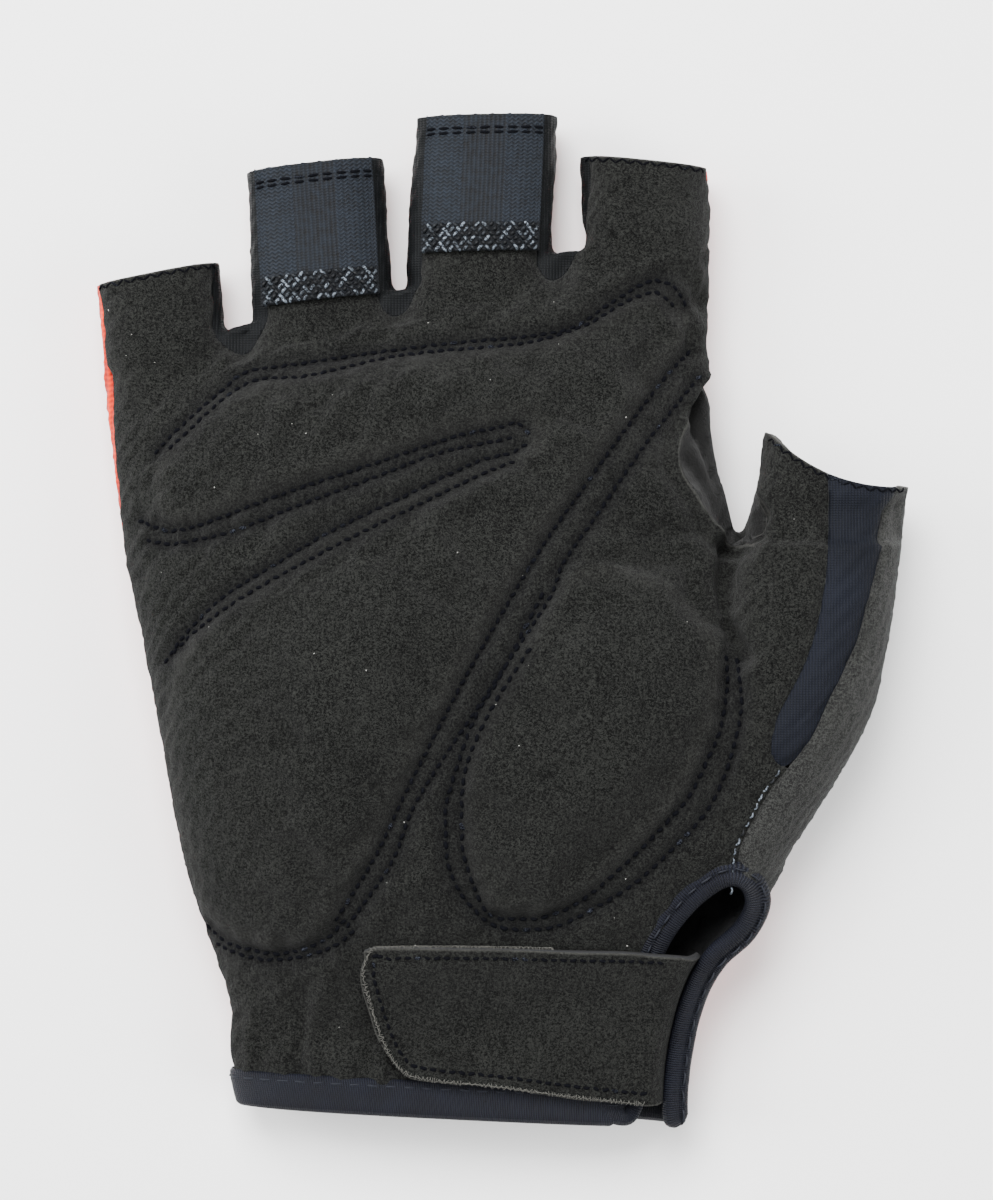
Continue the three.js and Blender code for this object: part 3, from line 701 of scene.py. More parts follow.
# %% Blow up a coarse copy of the skin
COARSE = 1.7 * MM
SWELL_LIMIT = 1.3 * MM
SWELL_FRAMES = 20
STRAP = [
    (-.219, .179), (-.212, .205), (-.186, .217), (.085, .215), (.314, .205), (.302, .16), (.275, .099),
    (.268, .038), (.165, .039), (.004, .054), (-.109, .062), (-.157, .073), (-.19, .11),
]
strap_outline = curve(spot(STRAP), closed=True)
knuckle_line = knuckle_end - knuckle_start
knuckle_square = np.array([-knuckle_line[1], knuckle_line[0]]) / np.linalg.norm(knuckle_line)


def held(points):
    """How firmly each point is held: 1 on a seam, at an open end and under the strap."""
    flat = points[:, :2]
    near_row = np.min([line_distance(flat, line[::3])[0] for line in rows.values()], axis=0)
    top = seam_side(points)
    return np.maximum.reduce([
        hump(np.where(top > 0, near_row, 1.0), 1.6 * MM),
        hump(top, 4.5 * MM),
        1 - ramp(before_ends(points), 0.5 * MM, 4 * MM),
        1 - ramp(points[:, 2], 1.5 * MM, 4 * MM),
        hump(line_distance(flat, slit_outline)[0], 4 * MM),
        0.85 * ramp(points[:, 0], *SIDES),
        0.7 * ramp(-points[:, 0], *SIDES),
        ramp(inside_distance(flat, strap_outline), -4 * MM, -1 * MM),
        0.9 * ramp((flat - knuckle_start) @ knuckle_square, -7 * MM, -2 * MM),
    ])


def swollen(points, tris):
    """A coarse closed copy of the skin, before and after its cloth has swollen."""
    lump = remeshed(mesh_object("swell", points, tris.tolist()), COARSE)
    start, coarse_tris = triangles_of(lump.data)
    pins = lump.vertex_groups.new(name="held")
    for i, weight in enumerate(held(start)):
        pins.add([i], float(weight), "REPLACE")
    cloth = lump.modifiers.new("cloth", "CLOTH")
    settings = cloth.settings
    settings.quality = 5
    settings.mass = 0.2
    settings.tension_stiffness = settings.compression_stiffness = 12
    settings.shear_stiffness = 4
    settings.bending_stiffness = 0.25
    settings.vertex_group_mass = "held"
    settings.use_pressure = True
    settings.uniform_pressure_force = 4
    settings.shrink_min = -0.035
    settings.effector_weights.gravity = 0
    for frame_number in range(1, SWELL_FRAMES + 1):
        bpy.context.scene.frame_set(frame_number)
    applied(lump)
    end, _ = triangles_of(lump.data)
    bpy.data.objects.remove(lump)
    bpy.context.scene.frame_set(1)
    return start, coarse_tris, end


start, coarse_tris, end = swollen(skin_points, skin_tris)
moved = end - start
length = np.linalg.norm(moved, axis=1, keepdims=True)
moved *= np.minimum(1, SWELL_LIMIT / np.maximum(length, 1e-9))
coarse = BVHTree.FromPolygons(start.tolist(), coarse_tris.tolist())
carried = np.empty_like(skin_points)
for i, point in enumerate(skin_points):
    place, _, face, _ = coarse.find_nearest(point)
    corners = start[coarse_tris[face]]
    closeness = 1 / (np.linalg.norm(corners - np.array(place), axis=1) + 1e-6)
    carried[i] = closeness @ moved[coarse_tris[face]] / closeness.sum()
skin_points = skin_points + carried
skin_points[:, 2] = np.maximum(skin_points[:, 2], FLOOR_GAP)
print("swell: mean", float(length.mean().round(6)), "most", float(length.max().round(6)))

# %% [markdown]
# ## From skin to panels
# A panel is the part of the skin on the right side of its seams. Near every seam the cloth turns
# down, because it is folded inwards and sewn from the inside. Each panel gets its real thickness.

# %% Cutting cloth
class Cloth:
    """Part of the skin: points, triangles and numbers that go with the points."""

    def __init__(self, points, tris, **marks):
        self.points, self.tris, self.marks = points, tris, marks

    def cut(self, side):
        """What is left where side is above zero, cut through the triangles on its zero line."""
        side = np.where(np.abs(side) < 1e-7, 1e-7, side)
        keep = side > 0
        inside = keep[self.tris].sum(1)
        split = (inside == 1) | (inside == 2)
        whole, parts, single = self.tris[inside == 3], self.tris[split], inside[split] == 1
        # each cut triangle is turned until the corner that is alone on its side comes first
        first = (keep[parts] == single[:, None]).argmax(1)
        turned = parts[np.arange(len(parts))[:, None], (first[:, None] + np.arange(3)) % 3]
        pairs = np.sort(np.vstack([turned[:, [0, 1]], turned[:, [0, 2]]]), axis=1)
        unique, where = np.unique(pairs, axis=0, return_inverse=True)
        where = where.reshape(-1) + len(self.points)
        ab, ac = where[: len(parts)], where[len(parts):]
        tris = np.vstack([
            whole,
            np.column_stack([turned[:, 0], ab, ac])[single],
            np.column_stack([ab, turned[:, 1], turned[:, 2]])[~single],
            np.column_stack([ab, turned[:, 2], ac])[~single],
        ])
        used, tris = np.unique(tris, return_inverse=True)
        share = side[unique[:, 0]] / (side[unique[:, 0]] - side[unique[:, 1]])

        def pick(values):
            a, b = values[unique[:, 0]], values[unique[:, 1]]
            on_cut = a + (b - a) * share.reshape((-1,) + (1,) * (values.ndim - 1))
            return np.concatenate([values, on_cut])[used]

        return Cloth(pick(self.points), tris.reshape(-1, 3), **{k: pick(v) for k, v in self.marks.items()})


THUMB_FRONT = [(0.40, 0.655), (0.41, 0.70), (0.418, 0.76), (0.415, 0.84)]
thumb_front = np.vstack([curve(spot(THUMB_FRONT)), spot([(0.9, 0.9), (0.9, 0.6)])])
thumb_front_gap = -inside_distance(flat_points, thumb_front)
TAPE_THICKNESS = 0.9 * MM
regions = {
    "above": seam_side(skin_points),
    "open": before_ends(skin_points),
    "flap": inside_distance(flat_points, flap_outline),
    "slit": inside_distance(flat_points, slit_outline) + TAPE_THICKNESS,
    "strip": inside_distance(flat_points, strip_outline),
    "thumb_top": inside_distance(flat_points, thumb_top_outline),
    "thumb_under": inside_distance(flat_points, thumb_under_outline),
    "web": np.minimum(inside_distance(flat_points, web_outline), thumb_front_gap),
}
for left, right in gaps:
    regions[f"{left}_{right}"] = strip_between(skin_points, left, right)


def calm(field, rounds=8):
    """A seam's field without small jags, so that the cut along it is an even line."""
    return spread(np.clip(field, -5 * MM, 5 * MM)[:, None], skin_tris, rounds)[:, 0]


print("seam fields:", len(regions))

# %% Which side of each seam a panel keeps
SEAM_OVERLAP = 0.05 * MM
SEAM_INSET = 0.02 * MM
above = calm(regions["above"], 4)
below = -above
for left, right in gaps:
    regions[f"{left}_{right}"] = calm(regions[f"{left}_{right}"])
slit_cut = np.minimum(regions["slit"], above - 3 * MM)
strip = calm(np.minimum(regions["strip"], above), 4)
thumb_back = calm(np.maximum.reduce([
    np.minimum(regions["thumb_top"], above + SEAM_OVERLAP),
    np.minimum(regions["thumb_under"], below + SEAM_OVERLAP),
    np.minimum(regions["web"], above + SEAM_OVERLAP),
]))
between = np.maximum.reduce([regions[f"{a}_{b}"] for a, b in gaps])
flap = np.minimum(regions["flap"], above)
palm_side = np.minimum.reduce([above, -regions["flap"], -strip, -thumb_back, -between])
back_side = np.minimum.reduce([np.maximum(below, flap), -thumb_back, -between])
strip_side = np.minimum(strip, -thumb_back)
seam_gap = np.minimum.reduce([np.abs(v) for v in (palm_side, back_side, strip_side, between, thumb_back)])
tuck = 0.55 * MM * hump(seam_gap, 0.7 * MM) + 0.25 * MM * hump(seam_gap, 1.8 * MM)
tuck *= 0.2 + 0.8 * ramp(regions["open"], 0.5 * MM, 4 * MM)
skin_normals = unit(spread(normals_of(skin_points, skin_tris), skin_tris, 14))
skin_points = skin_points - skin_normals * tuck[:, None]
skin_points[:, 2] = np.maximum(skin_points[:, 2], FLOOR_GAP)
skin = Cloth(
    skin_points, skin_tris, open=regions["open"], slit=-slit_cut, row=row_distance,
    palm=palm_side, back=back_side, strip=strip_side, thumb=thumb_back, pad=pad_depth, web=regions["web"],
    **{f"gap_{a}_{b}": regions[f"{a}_{b}"] for a, b in gaps},
)
ground = BVHTree.FromPolygons(skin_points.tolist(), skin_tris.tolist())
print("skin ready:", len(skin.points))


# %% Surface under a point
ABOVE_ALL, MIDDLE_HEIGHT = 0.2, 0.012


def drop(flat, lift=0.0, onto=ground):
    """The points on top of a surface under places seen from above, and the surface's normals there."""
    found, ups = [], []
    for x, y in flat:
        hit, normal, _, _ = onto.ray_cast((x, y, ABOVE_ALL), (0, 0, -1))
        if hit is None:
            hit, normal, _, _ = onto.find_nearest((x, y, MIDDLE_HEIGHT))
        found.append(hit)
        ups.append(normal)
    found, ups = np.array(found), np.array(ups)
    return found + ups * lift, ups


print("height in the middle of the palm:", drop(spot([(0.0, 0.5)]))[0][0, 2].round(4))


# %% [markdown]
# ## Finishes
# Shader maths reads best as plain Python. A socket is wrapped so that adding or multiplying it
# adds the Math node, and one method makes every other node.

# %% Sockets in expressions
class Flow:
    """A socket that can be used in Python sums."""

    def __init__(self, graph, socket):
        self.graph, self.socket = graph, socket

    def sum_of(self, operation, first, second=0.0):
        return self.graph.node("ShaderNodeMath", {"operation": operation}, {0: first, 1: second})

    def __add__(self, other): return self.sum_of("ADD", self, other)
    def __radd__(self, other): return self.sum_of("ADD", other, self)
    def __sub__(self, other): return self.sum_of("SUBTRACT", self, other)
    def __rsub__(self, other): return self.sum_of("SUBTRACT", other, self)
    def __mul__(self, other): return self.sum_of("MULTIPLY", self, other)
    def __rmul__(self, other): return self.sum_of("MULTIPLY", other, self)
    def __mod__(self, other): return self.sum_of("MODULO", self, other)
    def __gt__(self, other): return self.sum_of("GREATER_THAN", self, other)
    def sine(self): return self.sum_of("SINE", self)
    def size(self): return self.sum_of("ABSOLUTE", self)
    def least(self, other): return self.sum_of("MINIMUM", self, other)
    def most(self, other): return self.sum_of("MAXIMUM", self, other)
    def part(self, name): return Flow(self.graph, self.socket.node.outputs[name])


print(Flow.__name__, "-", Flow.__doc__)


# %% Node trees in expressions
class Graph:
    """A node tree that is written in expressions."""

    def __init__(self, tree):
        self.tree = tree

    def node(self, kind, settings=None, inputs=None, out=0):
        """Adds a node: its settings first, then the values or links of its sockets."""
        made = self.tree.nodes.new(kind)
        for key, value in (settings or {}).items():
            setattr(made, key, value)
        for key, value in (inputs or {}).items():
            if isinstance(value, Flow):
                self.tree.links.new(value.socket, made.inputs[key])
            else:
                made.inputs[key].default_value = value
        return Flow(self, made.outputs[out]) if len(made.outputs) else made

    def step(self, value, low, high):
        """0 below low, 1 above high and a soft step between."""
        return self.node("ShaderNodeMapRange", {"interpolation_type": "SMOOTHSTEP"},
                         {"Value": value, "From Min": low, "From Max": high})

    def mix(self, share, first, second):
        """A colour between two others."""
        return self.node("ShaderNodeMix", {"data_type": "RGBA"}, {0: share, 6: first, 7: second}, out=2)

    def blend(self, share, dark, light):
        """A colour between two screen colours, with the share kept between 0 and 1."""
        return self.mix(share.least(1.0).most(0.0), colour(*dark), colour(*light))

    def noise(self, place, scale, detail=2.0, roughness=0.5):
        """A cloudy pattern between 0 and 1."""
        return self.node("ShaderNodeTexNoise", {}, {
            "Vector": place, "Scale": scale, "Detail": detail, "Roughness": roughness})

    def stretched(self, place, scale):
        """A place with each direction scaled, for patterns that are longer one way."""
        return self.node("ShaderNodeMapping", {}, {"Vector": place, "Scale": scale})

    def chance(self, low, high, seed):
        """A random number for each element, or a random vector between two vectors."""
        if isinstance(low, tuple):
            return self.node("FunctionNodeRandomValue", {"data_type": "FLOAT_VECTOR"},
                             {0: low, 1: high, "Seed": seed})
        return self.node("FunctionNodeRandomValue", {}, {2: low, 3: high, "Seed": seed}, out=1)

    def place(self):
        """Where on the object a point is, in metres."""
        return self.node("ShaderNodeTexCoord", out="Object")

    def flat_place(self):
        """Where on its flat piece a point is, along and across it, in metres."""
        flat = self.node("ShaderNodeUVMap", {"uv_map": "length"})
        parts = self.node("ShaderNodeSeparateXYZ", {}, {0: flat})
        return parts.part("X"), parts.part("Y")

    def mark(self, name):
        """A number that the mesh's points carry, such as the distance from a seam."""
        return self.node("ShaderNodeAttribute", {"attribute_name": name}, out="Fac")


print(Graph.__name__, "-", Graph.__doc__)


# %% A material from its shade
def linear(value):
    """A screen value, 0 to 1, as the linear one that shaders use."""
    return value / 12.92 if value <= 0.04045 else ((value + 0.055) / 1.055) ** 2.4


def colour(red, green, blue):
    """A screen colour, 0 to 255, in linear values."""
    return tuple(linear(c / 255) for c in (red, green, blue)) + (1.0,)


def finish(name, shade, specular=0.5, sheen=0.0):
    """A material. shade(graph) gives its colour, roughness, relief and the relief's depth."""
    material = bpy.data.materials.new(name)
    material.use_nodes = True
    graph = Graph(material.node_tree)
    material.node_tree.nodes.clear()
    base, rough, height, depth = shade(graph)
    bump = graph.node("ShaderNodeBump", {}, {"Strength": 1.0, "Distance": depth, "Height": height})
    surface = graph.node("ShaderNodeBsdfPrincipled", {}, {
        "Base Color": base, "Roughness": rough, "Normal": bump,
        "Specular IOR Level": specular, "Sheen Weight": sheen, "Sheen Roughness": 0.5})
    graph.node("ShaderNodeOutputMaterial", {}, {"Surface": surface})
    return material


print("a middle screen grey in linear values:", round(colour(128, 128, 128)[0], 3))

# %% [markdown]
# ### Suede
# Synthetic suede is a very short brushed pile. It looks dull, with a fine salt-and-pepper grain,
# soft patches where the pile lies another way, and a dusty light edge where it is cut raw.

# %% Suede of the palm and of the thumb
def suede(dark, light, raw_edge_and_highlight):
    """Brushed pile, with painted shade in the channels, in the stitch grooves (with some dirt) and deep in
    the web, a painted highlight on the pads' shoulders, and dusty where it is cut.
    """
    def shade(g):
        here = g.place()
        patches = g.noise(here, 85, 4, 0.6)
        streaks = g.noise(g.stretched(here, (1.0, 0.3, 1.0)), 1500, 2, 0.6)
        grain = g.noise(here, 2500, 4, 0.8)
        fleck = g.noise(here, 6200, 1, 0.5)
        share = (patches - 0.5) * 0.5 + (streaks - 0.5) * 0.9 + (grain - 0.5) * 4.6
        base = g.blend(share + (fleck - 0.5) * 2.6 + 0.40, dark, light)
        web = g.mark("web")
        # painted shade: the suede deep in the thumb's web is darkened almost to black
        base = g.mix(g.step(web, 0.0, 0.0003) * 0.9, base, colour(4, 4, 4))
        cut_edge = g.step(web, -0.0006, -0.0003) * (1 - g.step(web, -0.0001, 0.0))
        base = g.mix(cut_edge * (0.1 + grain * 0.5), base, colour(*raw_edge_and_highlight))
        # painted shade with some dirt: the suede is darkened in the grooves right beside the stitch rows
        groove_shade_and_dirt = 1 - g.step(g.mark("row"), 0.0001, 0.0009)
        base = g.mix(groove_shade_and_dirt * 0.4, base, colour(1, 1, 2))
        # painted shade: a wider, softer darkening over the channels beside the stitch rows
        channel_shade = 1 - g.step(g.mark("row"), 0.0004, 0.0028)
        base = g.mix(channel_shade * 0.3, base, colour(2, 2, 4))
        # painted highlight: a faint lighter band along the pads' shoulders
        pad_shoulder_highlight = g.step(g.mark("pad"), 0.0, 0.0012) * (1 - g.step(g.mark("pad"), 0.0012, 0.0045))
        base = g.mix(pad_shoulder_highlight * 0.05, base, colour(*raw_edge_and_highlight))
        raw = 1 - g.step(g.mark("open"), 0.0001, 0.0004)
        base = g.mix(raw * (0.1 + grain * 0.5), base, colour(*raw_edge_and_highlight))
        height = grain * 0.7 + fleck * 0.3 + streaks * 0.4 + patches * 1.0
        return base, 0.86 + grain * 0.14, height, 0.00045
    return shade


palm_suede = finish("palm_suede", suede((0, 0, 0), (32, 33, 31), (66, 66, 63)), specular=0.08, sheen=0.03)
pale_suede = finish("pale_suede", suede((5, 5, 5), (47, 48, 46), (78, 78, 74)), specular=0.15, sheen=0.06)
print("suede:", palm_suede.name, pale_suede.name)

# %% [markdown]
# ### Knits, tapes and webbing
# The knits are rows of fine loops. Tapes and webbing are woven, with ribs across them, so their
# pattern follows the piece's own length and width, in metres, kept in its UV map.

# %% Knitted and woven finishes
TURN = 2 * math.pi


def knit(dark, light, pitch, rough, depth=0.00012):
    """Fine ribs of loops along the cloth, broken by their rows."""
    def shade(g):
        here = g.place()
        parts = g.node("ShaderNodeSeparateXYZ", {}, {0: here})
        sway = g.noise(here, 160, 2) * 0.6
        ribs = ((parts.part("X") * (TURN / pitch)) + sway).sine() * 0.5 + 0.5
        loops = ((parts.part("Y") * (TURN / pitch / 0.8)) + ribs * 1.6).sine() * 0.5 + 0.5
        patches = g.noise(here, 90, 3)
        base = g.blend(ribs * 0.45 + loops * 0.35 + (patches - 0.5) * 0.9 + 0.1, dark, light)
        return base, rough + loops * 0.12, ribs * 0.6 + loops * 0.4, depth
    return shade


def ribbed(dark, light, pitch, depth=0.0002):
    """Ribs across a tape that follow its length."""
    def shade(g):
        u, v = g.flat_place()
        ribs = (u * (TURN / pitch)).sine() * 0.5 + 0.5
        yarn = (v * (TURN / (pitch * 0.9)) + ribs * 2.0).sine() * 0.5 + 0.5
        dull = g.noise(g.place(), 240, 3)
        base = g.blend(ribs * 0.6 + yarn * 0.2 + (dull - 0.5) * 0.8, dark, light)
        return base, 0.5 + dull * 0.2, ribs * 0.8 + yarn * 0.25, depth
    return shade


def webbing_shade(g):
    """A smooth ribbed middle band between two bands of zigzag, with a dark foot."""
    u, v = g.flat_place()
    zig = ((u * (TURN / 0.00092)).sine() * 1.6 + v * (TURN / 0.00062)).sine() * 0.5 + 0.5
    ribs = (v * (TURN / 0.00045) + (u * (TURN / 0.0009)).sine()).sine() * 0.5 + 0.5
    cords = (u * (TURN / 0.0007)).sine() * 0.5 + 0.5
    side = g.step((u - 0.0093).size(), 0.0031, 0.0034)
    weave = side * (zig * 0.75 + cords * 0.25) + (1 - side) * (ribs * 0.3 + cords * 0.45)
    dust = g.noise(g.place(), 900, 3)
    foot = 1 - g.step(v, 0.0042, 0.0048)
    share = (weave * 0.55 + side * 0.12 + (dust - 0.5) * 0.9 + 0.08) * (1 - foot * 0.6)
    return g.blend(share, (0, 0, 1), (25, 31, 39)), 0.7 + dust * 0.2, weave + dust * 0.3, 0.0002


back_cloth = finish("back_cloth", knit((138, 15, 1), (214, 50, 6), 0.0011, 0.8, 0.00025),
                    specular=0.2, sheen=0.05)
side_stretch = finish("side_stretch", knit((0, 1, 1), (7, 9, 12), 0.0005, 0.7), specular=0.15)
ribbed_knit = finish("ribbed_knit", knit((2, 3, 6), (13, 16, 25), 0.0005, 0.7), specular=0.12)
binding_tape = finish("binding_tape", ribbed((1, 1, 4), (16, 19, 30), 0.00038), specular=0.16)
webbing = finish("webbing", webbing_shade, specular=0.2)
print("woven finishes:", [m.name for m in (back_cloth, side_stretch, ribbed_knit, binding_tape, webbing)])

# %% [markdown]
# ### Small finishes
# The lining, the hooks and the threads are small in the picture, so a grain of two colours is
# enough. Thread has a number of its own for each stitch, which lets a few stitches look paler
# with a painted highlight.


# %% Lining, thread and hooks
def plain(dark, light, scale, rough, depth):
    """A grain of two colours."""
    def shade(g):
        grain = g.noise(g.place(), scale, 3, 0.6)
        return g.mix(grain, colour(*dark), colour(*light)), rough + grain * 0.1, grain, depth
    return shade


def thread_shade(g):
    """Dark thread of fibres, with a painted highlight on a few stitches."""
    fibre = g.noise(g.place(), 5200, 2)
    # painted highlight: a light glint on a few stitches, broken up by the fibres
    light = g.step(g.mark("tone"), 0.9, 1.0) * g.step(fibre, 0.5, 0.6)
    base = g.mix(light, g.mix(fibre, colour(1, 1, 3), colour(9, 10, 14)), colour(42, 45, 52))
    return base, 0.8 + fibre * 0.2, fibre, 0.00008


def knot_shade(g):
    """Thread that is pale in most stitches and dark in the others."""
    fibre = g.noise(g.place(), 3000, 2)
    bright = g.step(g.mark("tone"), 0.3, 1.0) * g.step(fibre, 0.35, 0.65)
    return g.mix(bright, colour(4, 6, 9), colour(102, 110, 119)), 0.5 + fibre * 0.2, fibre, 0.00008


lining = finish("lining", plain((6, 7, 8), (16, 17, 20), 1500, 0.8, 0.00015))
raw_edge = finish("raw_edge", plain((8, 8, 8), (62, 61, 58), 3000, 0.9, 0.0002))
thread = finish("thread", thread_shade, specular=0.05)
pale_thread = finish("pale_thread", knot_shade, specular=0.2)
tape_thread = finish("tape_thread", plain((3, 4, 7), (26, 29, 38), 4200, 0.6, 0.00008), specular=0.2)
fuzz = finish("fuzz", plain((28, 28, 26), (92, 91, 86), 2500, 0.9, 0.00005))
lint = finish("lint", plain((90, 90, 87), (170, 169, 165), 2000, 0.9, 0.0001))
hook_plastic = finish("hook_plastic", plain((12, 13, 15), (46, 48, 52), 1800, 0.4, 0.0004))
print("small finishes:", [m.name for m in (lining, raw_edge, thread, fuzz, lint, hook_plastic)])


# %% [markdown]
# ## The panels
# Each panel is cut out of the skin, keeps its numbers for the material and is then given a wall.

# %% Make a panel
def keep_marks(thing, cloth):
    """Writes a cloth's numbers to the object's mesh, where a material can read them."""
    for name in ("row", "pad", "open", "web"):
        if name in cloth.marks:
            attribute = thing.data.attributes.new(name, "FLOAT", "POINT")
            attribute.data.foreach_set("value", cloth.marks[name].astype(np.float32))


def walled(thing, thickness, materials, offset=-1.0):
    """Gives a sheet its thickness: outside, inside and edge each take a material."""
    for material in materials:
        thing.data.materials.append(material)
    wall = thing.modifiers.new("wall", "SOLIDIFY")
    wall.thickness = thickness
    wall.offset = offset
    wall.use_quality_normals = True
    wall.material_offset = 1
    wall.material_offset_rim = 2
    return applied(thing)


def dressed(thing, slot, *nodes):
    """Rides on the glove and stands for CAD nodes, which it hides; slot is not used."""
    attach(thing, "root")
    if nodes:
        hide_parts(*nodes)
    return thing


def panel(name, side, thickness, materials, slot, node):
    """Cuts a panel from the skin and dresses it."""
    cloth = skin.cut(skin.marks["open"])
    cloth = cloth.cut(cloth.marks["slit"])
    cloth = cloth.cut(cloth.marks[side] - SEAM_INSET)
    made = mesh_object(name, cloth.points, cloth.tris.tolist())
    keep_marks(made, cloth)
    walled(made, thickness, materials)
    print(name, len(made.data.polygons), "faces")
    return dressed(made, slot, node)


THICK, THIN = 1.3 * MM, 1.2 * MM
# name, the seam field that bounds it, thickness, the materials outside, inside and on the edge,
# a finish's name and the CAD node
PANELS = [
    ("palm", "palm", THICK, (palm_suede, lining, raw_edge), "palm_suede", "palm_panel"),
    ("back", "back", THICK, (back_cloth, lining, lining), "back_cloth", "back_panel"),
    ("thumb_strip", "strip", THIN, (ribbed_knit, lining, ribbed_knit), "ribbed_knit", "thumb_stretch_strip"),
    ("thumb_back_suede", "thumb", THICK, (pale_suede, lining, raw_edge), "pale_suede", "thumb_back"),
] + [
    (f"side_strip_{a}_{b}", f"gap_{a}_{b}", THIN, (side_stretch, lining, side_stretch), "side_stretch",
     f"fourchette_{a}_{b}") for a, b in gaps
]
panels = {row[0]: panel(*row) for row in PANELS}

# %% [markdown]
# ## Bindings
# A folded tape grips the raw edge of the hem and of the slit. It is swept along the edge as one
# profile that goes over the edge and back, and its ribs run across it.

# %% Sweep a folded tape
ROUND_OFF = 1.6 * MM
CLOTH_WALL = 1.3


def keep_length(thing, uv):
    """Writes each point's place on its flat piece, in metres, to the UV map called length."""
    corners = np.empty(len(thing.data.loops), int)
    thing.data.loops.foreach_get("vertex_index", corners)
    thing.data.uv_layers.new(name="length").data.foreach_set("uv", uv[corners].ravel())


def sweep(name, path, away, up, profile):
    """A closed profile swept along a path. away and up are the profile's directions at each point."""
    walked = walked_along(path)
    short = 1 - np.minimum(np.minimum(walked, walked[-1] - walked) / ROUND_OFF, 1)
    fuller = np.sqrt(1 - 0.8 * short**2)[:, None, None]
    middle = profile.mean(0)
    profile = middle + (profile - middle)[None] * fuller
    points = path[:, None] + profile[..., :1] * away[:, None] + profile[..., 1:] * up[:, None]
    count, around = points.shape[:2]
    index = np.arange(count * around).reshape(count, around)
    quads = np.stack([index[:-1], np.roll(index[:-1], -1, 1), np.roll(index[1:], -1, 1), index[1:]], axis=2)
    faces = quads.reshape(-1, 4).tolist() + [index[0][::-1].tolist(), index[-1].tolist()]
    made = mesh_object(name, points.reshape(-1, 3), faces)
    rim = walked_along(profile[count // 2])
    keep_length(made, np.stack(np.broadcast_arrays(walked[:, None], rim[None, :]), axis=2).reshape(-1, 2))
    return made


def folded(width, crease=0.0):
    """Profile, given in millimetres, of a tape folded over a cloth's edge, with an edge on both sides."""
    outer = [(width, 0.25), (width - 0.4, 0.62), (width * 0.72, 0.8), (width * 0.56, 0.8 - crease),
             (width * 0.4, 0.82), (0.7, 0.8), (-0.1, 0.72), (-0.62, 0.3), (-0.8, -0.35), (-0.62, -1.0),
             (-0.1, -CLOTH_WALL - 0.65), (0.7, -CLOTH_WALL - 0.8), (width, -CLOTH_WALL - 0.75)]
    inner = [(width, -CLOTH_WALL - 0.15), (0.8, -CLOTH_WALL - 0.1), (0.1, -CLOTH_WALL + 0.2), (0.05, -0.1),
             (0.7, 0.12), (width, 0.1)]
    return np.array(outer + inner)[::-1] * MM


print("a tape's profile has", len(folded(5.4)), "corners")


# %% The binding of the hem
HEM_TAPE, HEM_LOWEST = 5.4, 1.3 * MM
turns = np.linspace(0, 2 * math.pi, 480, endpoint=False)
hem_path = oval(hand_sections[0], HAND_ROUNDNESS, turns)
higher = oval(hand_sections[3], HAND_ROUNDNESS, turns)
keep = inside_distance(hem_path[:, :2], slit_outline) < -1.2 * MM
keep |= hem_path[:, 2] < 9 * MM
order = (np.arange(len(turns)) + int(np.argmax(~keep))) % len(turns)
order = order[keep[order]]
hem_path, higher = hem_path[order], higher[order]
hem_path[:, 2] = np.maximum(hem_path[:, 2], HEM_LOWEST)
higher[:, 2] = np.maximum(higher[:, 2], HEM_LOWEST)
hem_away = unit(higher - hem_path)
hem_along = unit(np.gradient(hem_path, axis=0))
hem_up = unit(np.cross(hem_away, hem_along))
centre = hem_path.mean(0)
hem_up *= np.sign(((hem_path - centre) * hem_up).sum(1, keepdims=True))
cuff = sweep("cuff_tape", hem_path, hem_away, hem_up, folded(HEM_TAPE))
cuff.data.materials.append(binding_tape)
dressed(cuff, "binding_tape", "cuff_binding")
print("cuff tape:", len(cuff.data.polygons), "faces")

# %% The binding of the slit
SLIT_TAPE, SLIT_CREASE = 3.4, 0.45
SLIT_TAPE_LINE = [(0.16, 0.022)] + SLIT[1:-1] + [(0.279, 0.02), (0.286, 0.004)]


def evened(column, reach=8):
    """A running mean, as stiff tape bridges small dips."""
    width = 2 * reach + 1
    return np.convolve(np.pad(column, reach, "edge"), np.ones(width) / width, "valid")


slit_path = curve(spot(SLIT_TAPE_LINE), step=0.5 * MM)
slit_points, slit_ups = drop(slit_path)
over_strap = ramp(slit_path[:, 0], 0.0256, 0.0268) * (1 - ramp(slit_path[:, 1], -0.056, -0.048))
slit_points[:, 2] = evened(slit_points[:, 2]) + 0.9 * MM * over_strap
slit_ups = unit(np.stack([evened(c) for c in slit_ups.T], axis=1) + (0, 0, 0.6))
slit_along = unit(np.gradient(slit_points, axis=0))
slit_away = unit(np.cross(slit_along, slit_ups))
probe = slit_path + slit_away[:, :2] * MM
inwards = inside_distance(probe, slit_outline) > inside_distance(slit_path, slit_outline)
slit_away *= np.where(inwards, -1, 1)[:, None]
slit_tape = sweep("slit_tape", slit_points, slit_away, slit_ups, folded(SLIT_TAPE, SLIT_CREASE))
slit_tape.data.materials.append(binding_tape)
dressed(slit_tape, "binding_tape", "slit_binding")
print("slit tape:", len(slit_tape.data.polygons), "faces")

# %% [markdown]
# ## Patches that lie on the glove
# The wrist strap and the two pull tabs lie on top of other cloth. A fine grid is cut to the
# patch's outline, laid on the skin and thickened.

# %% Lay a patch on the skin
STIFFNESS = 24


def blurred(grid, rounds):
    """A grid of heights with its small bumps evened out, as stiff cloth bridges them."""
    for _ in range(rounds):
        wide = np.pad(grid, 1, "edge")
        grid = (2 * grid + wide[:-2, 1:-1] + wide[2:, 1:-1] + wide[1:-1, :-2] + wide[1:-1, 2:]) / 6
    return grid


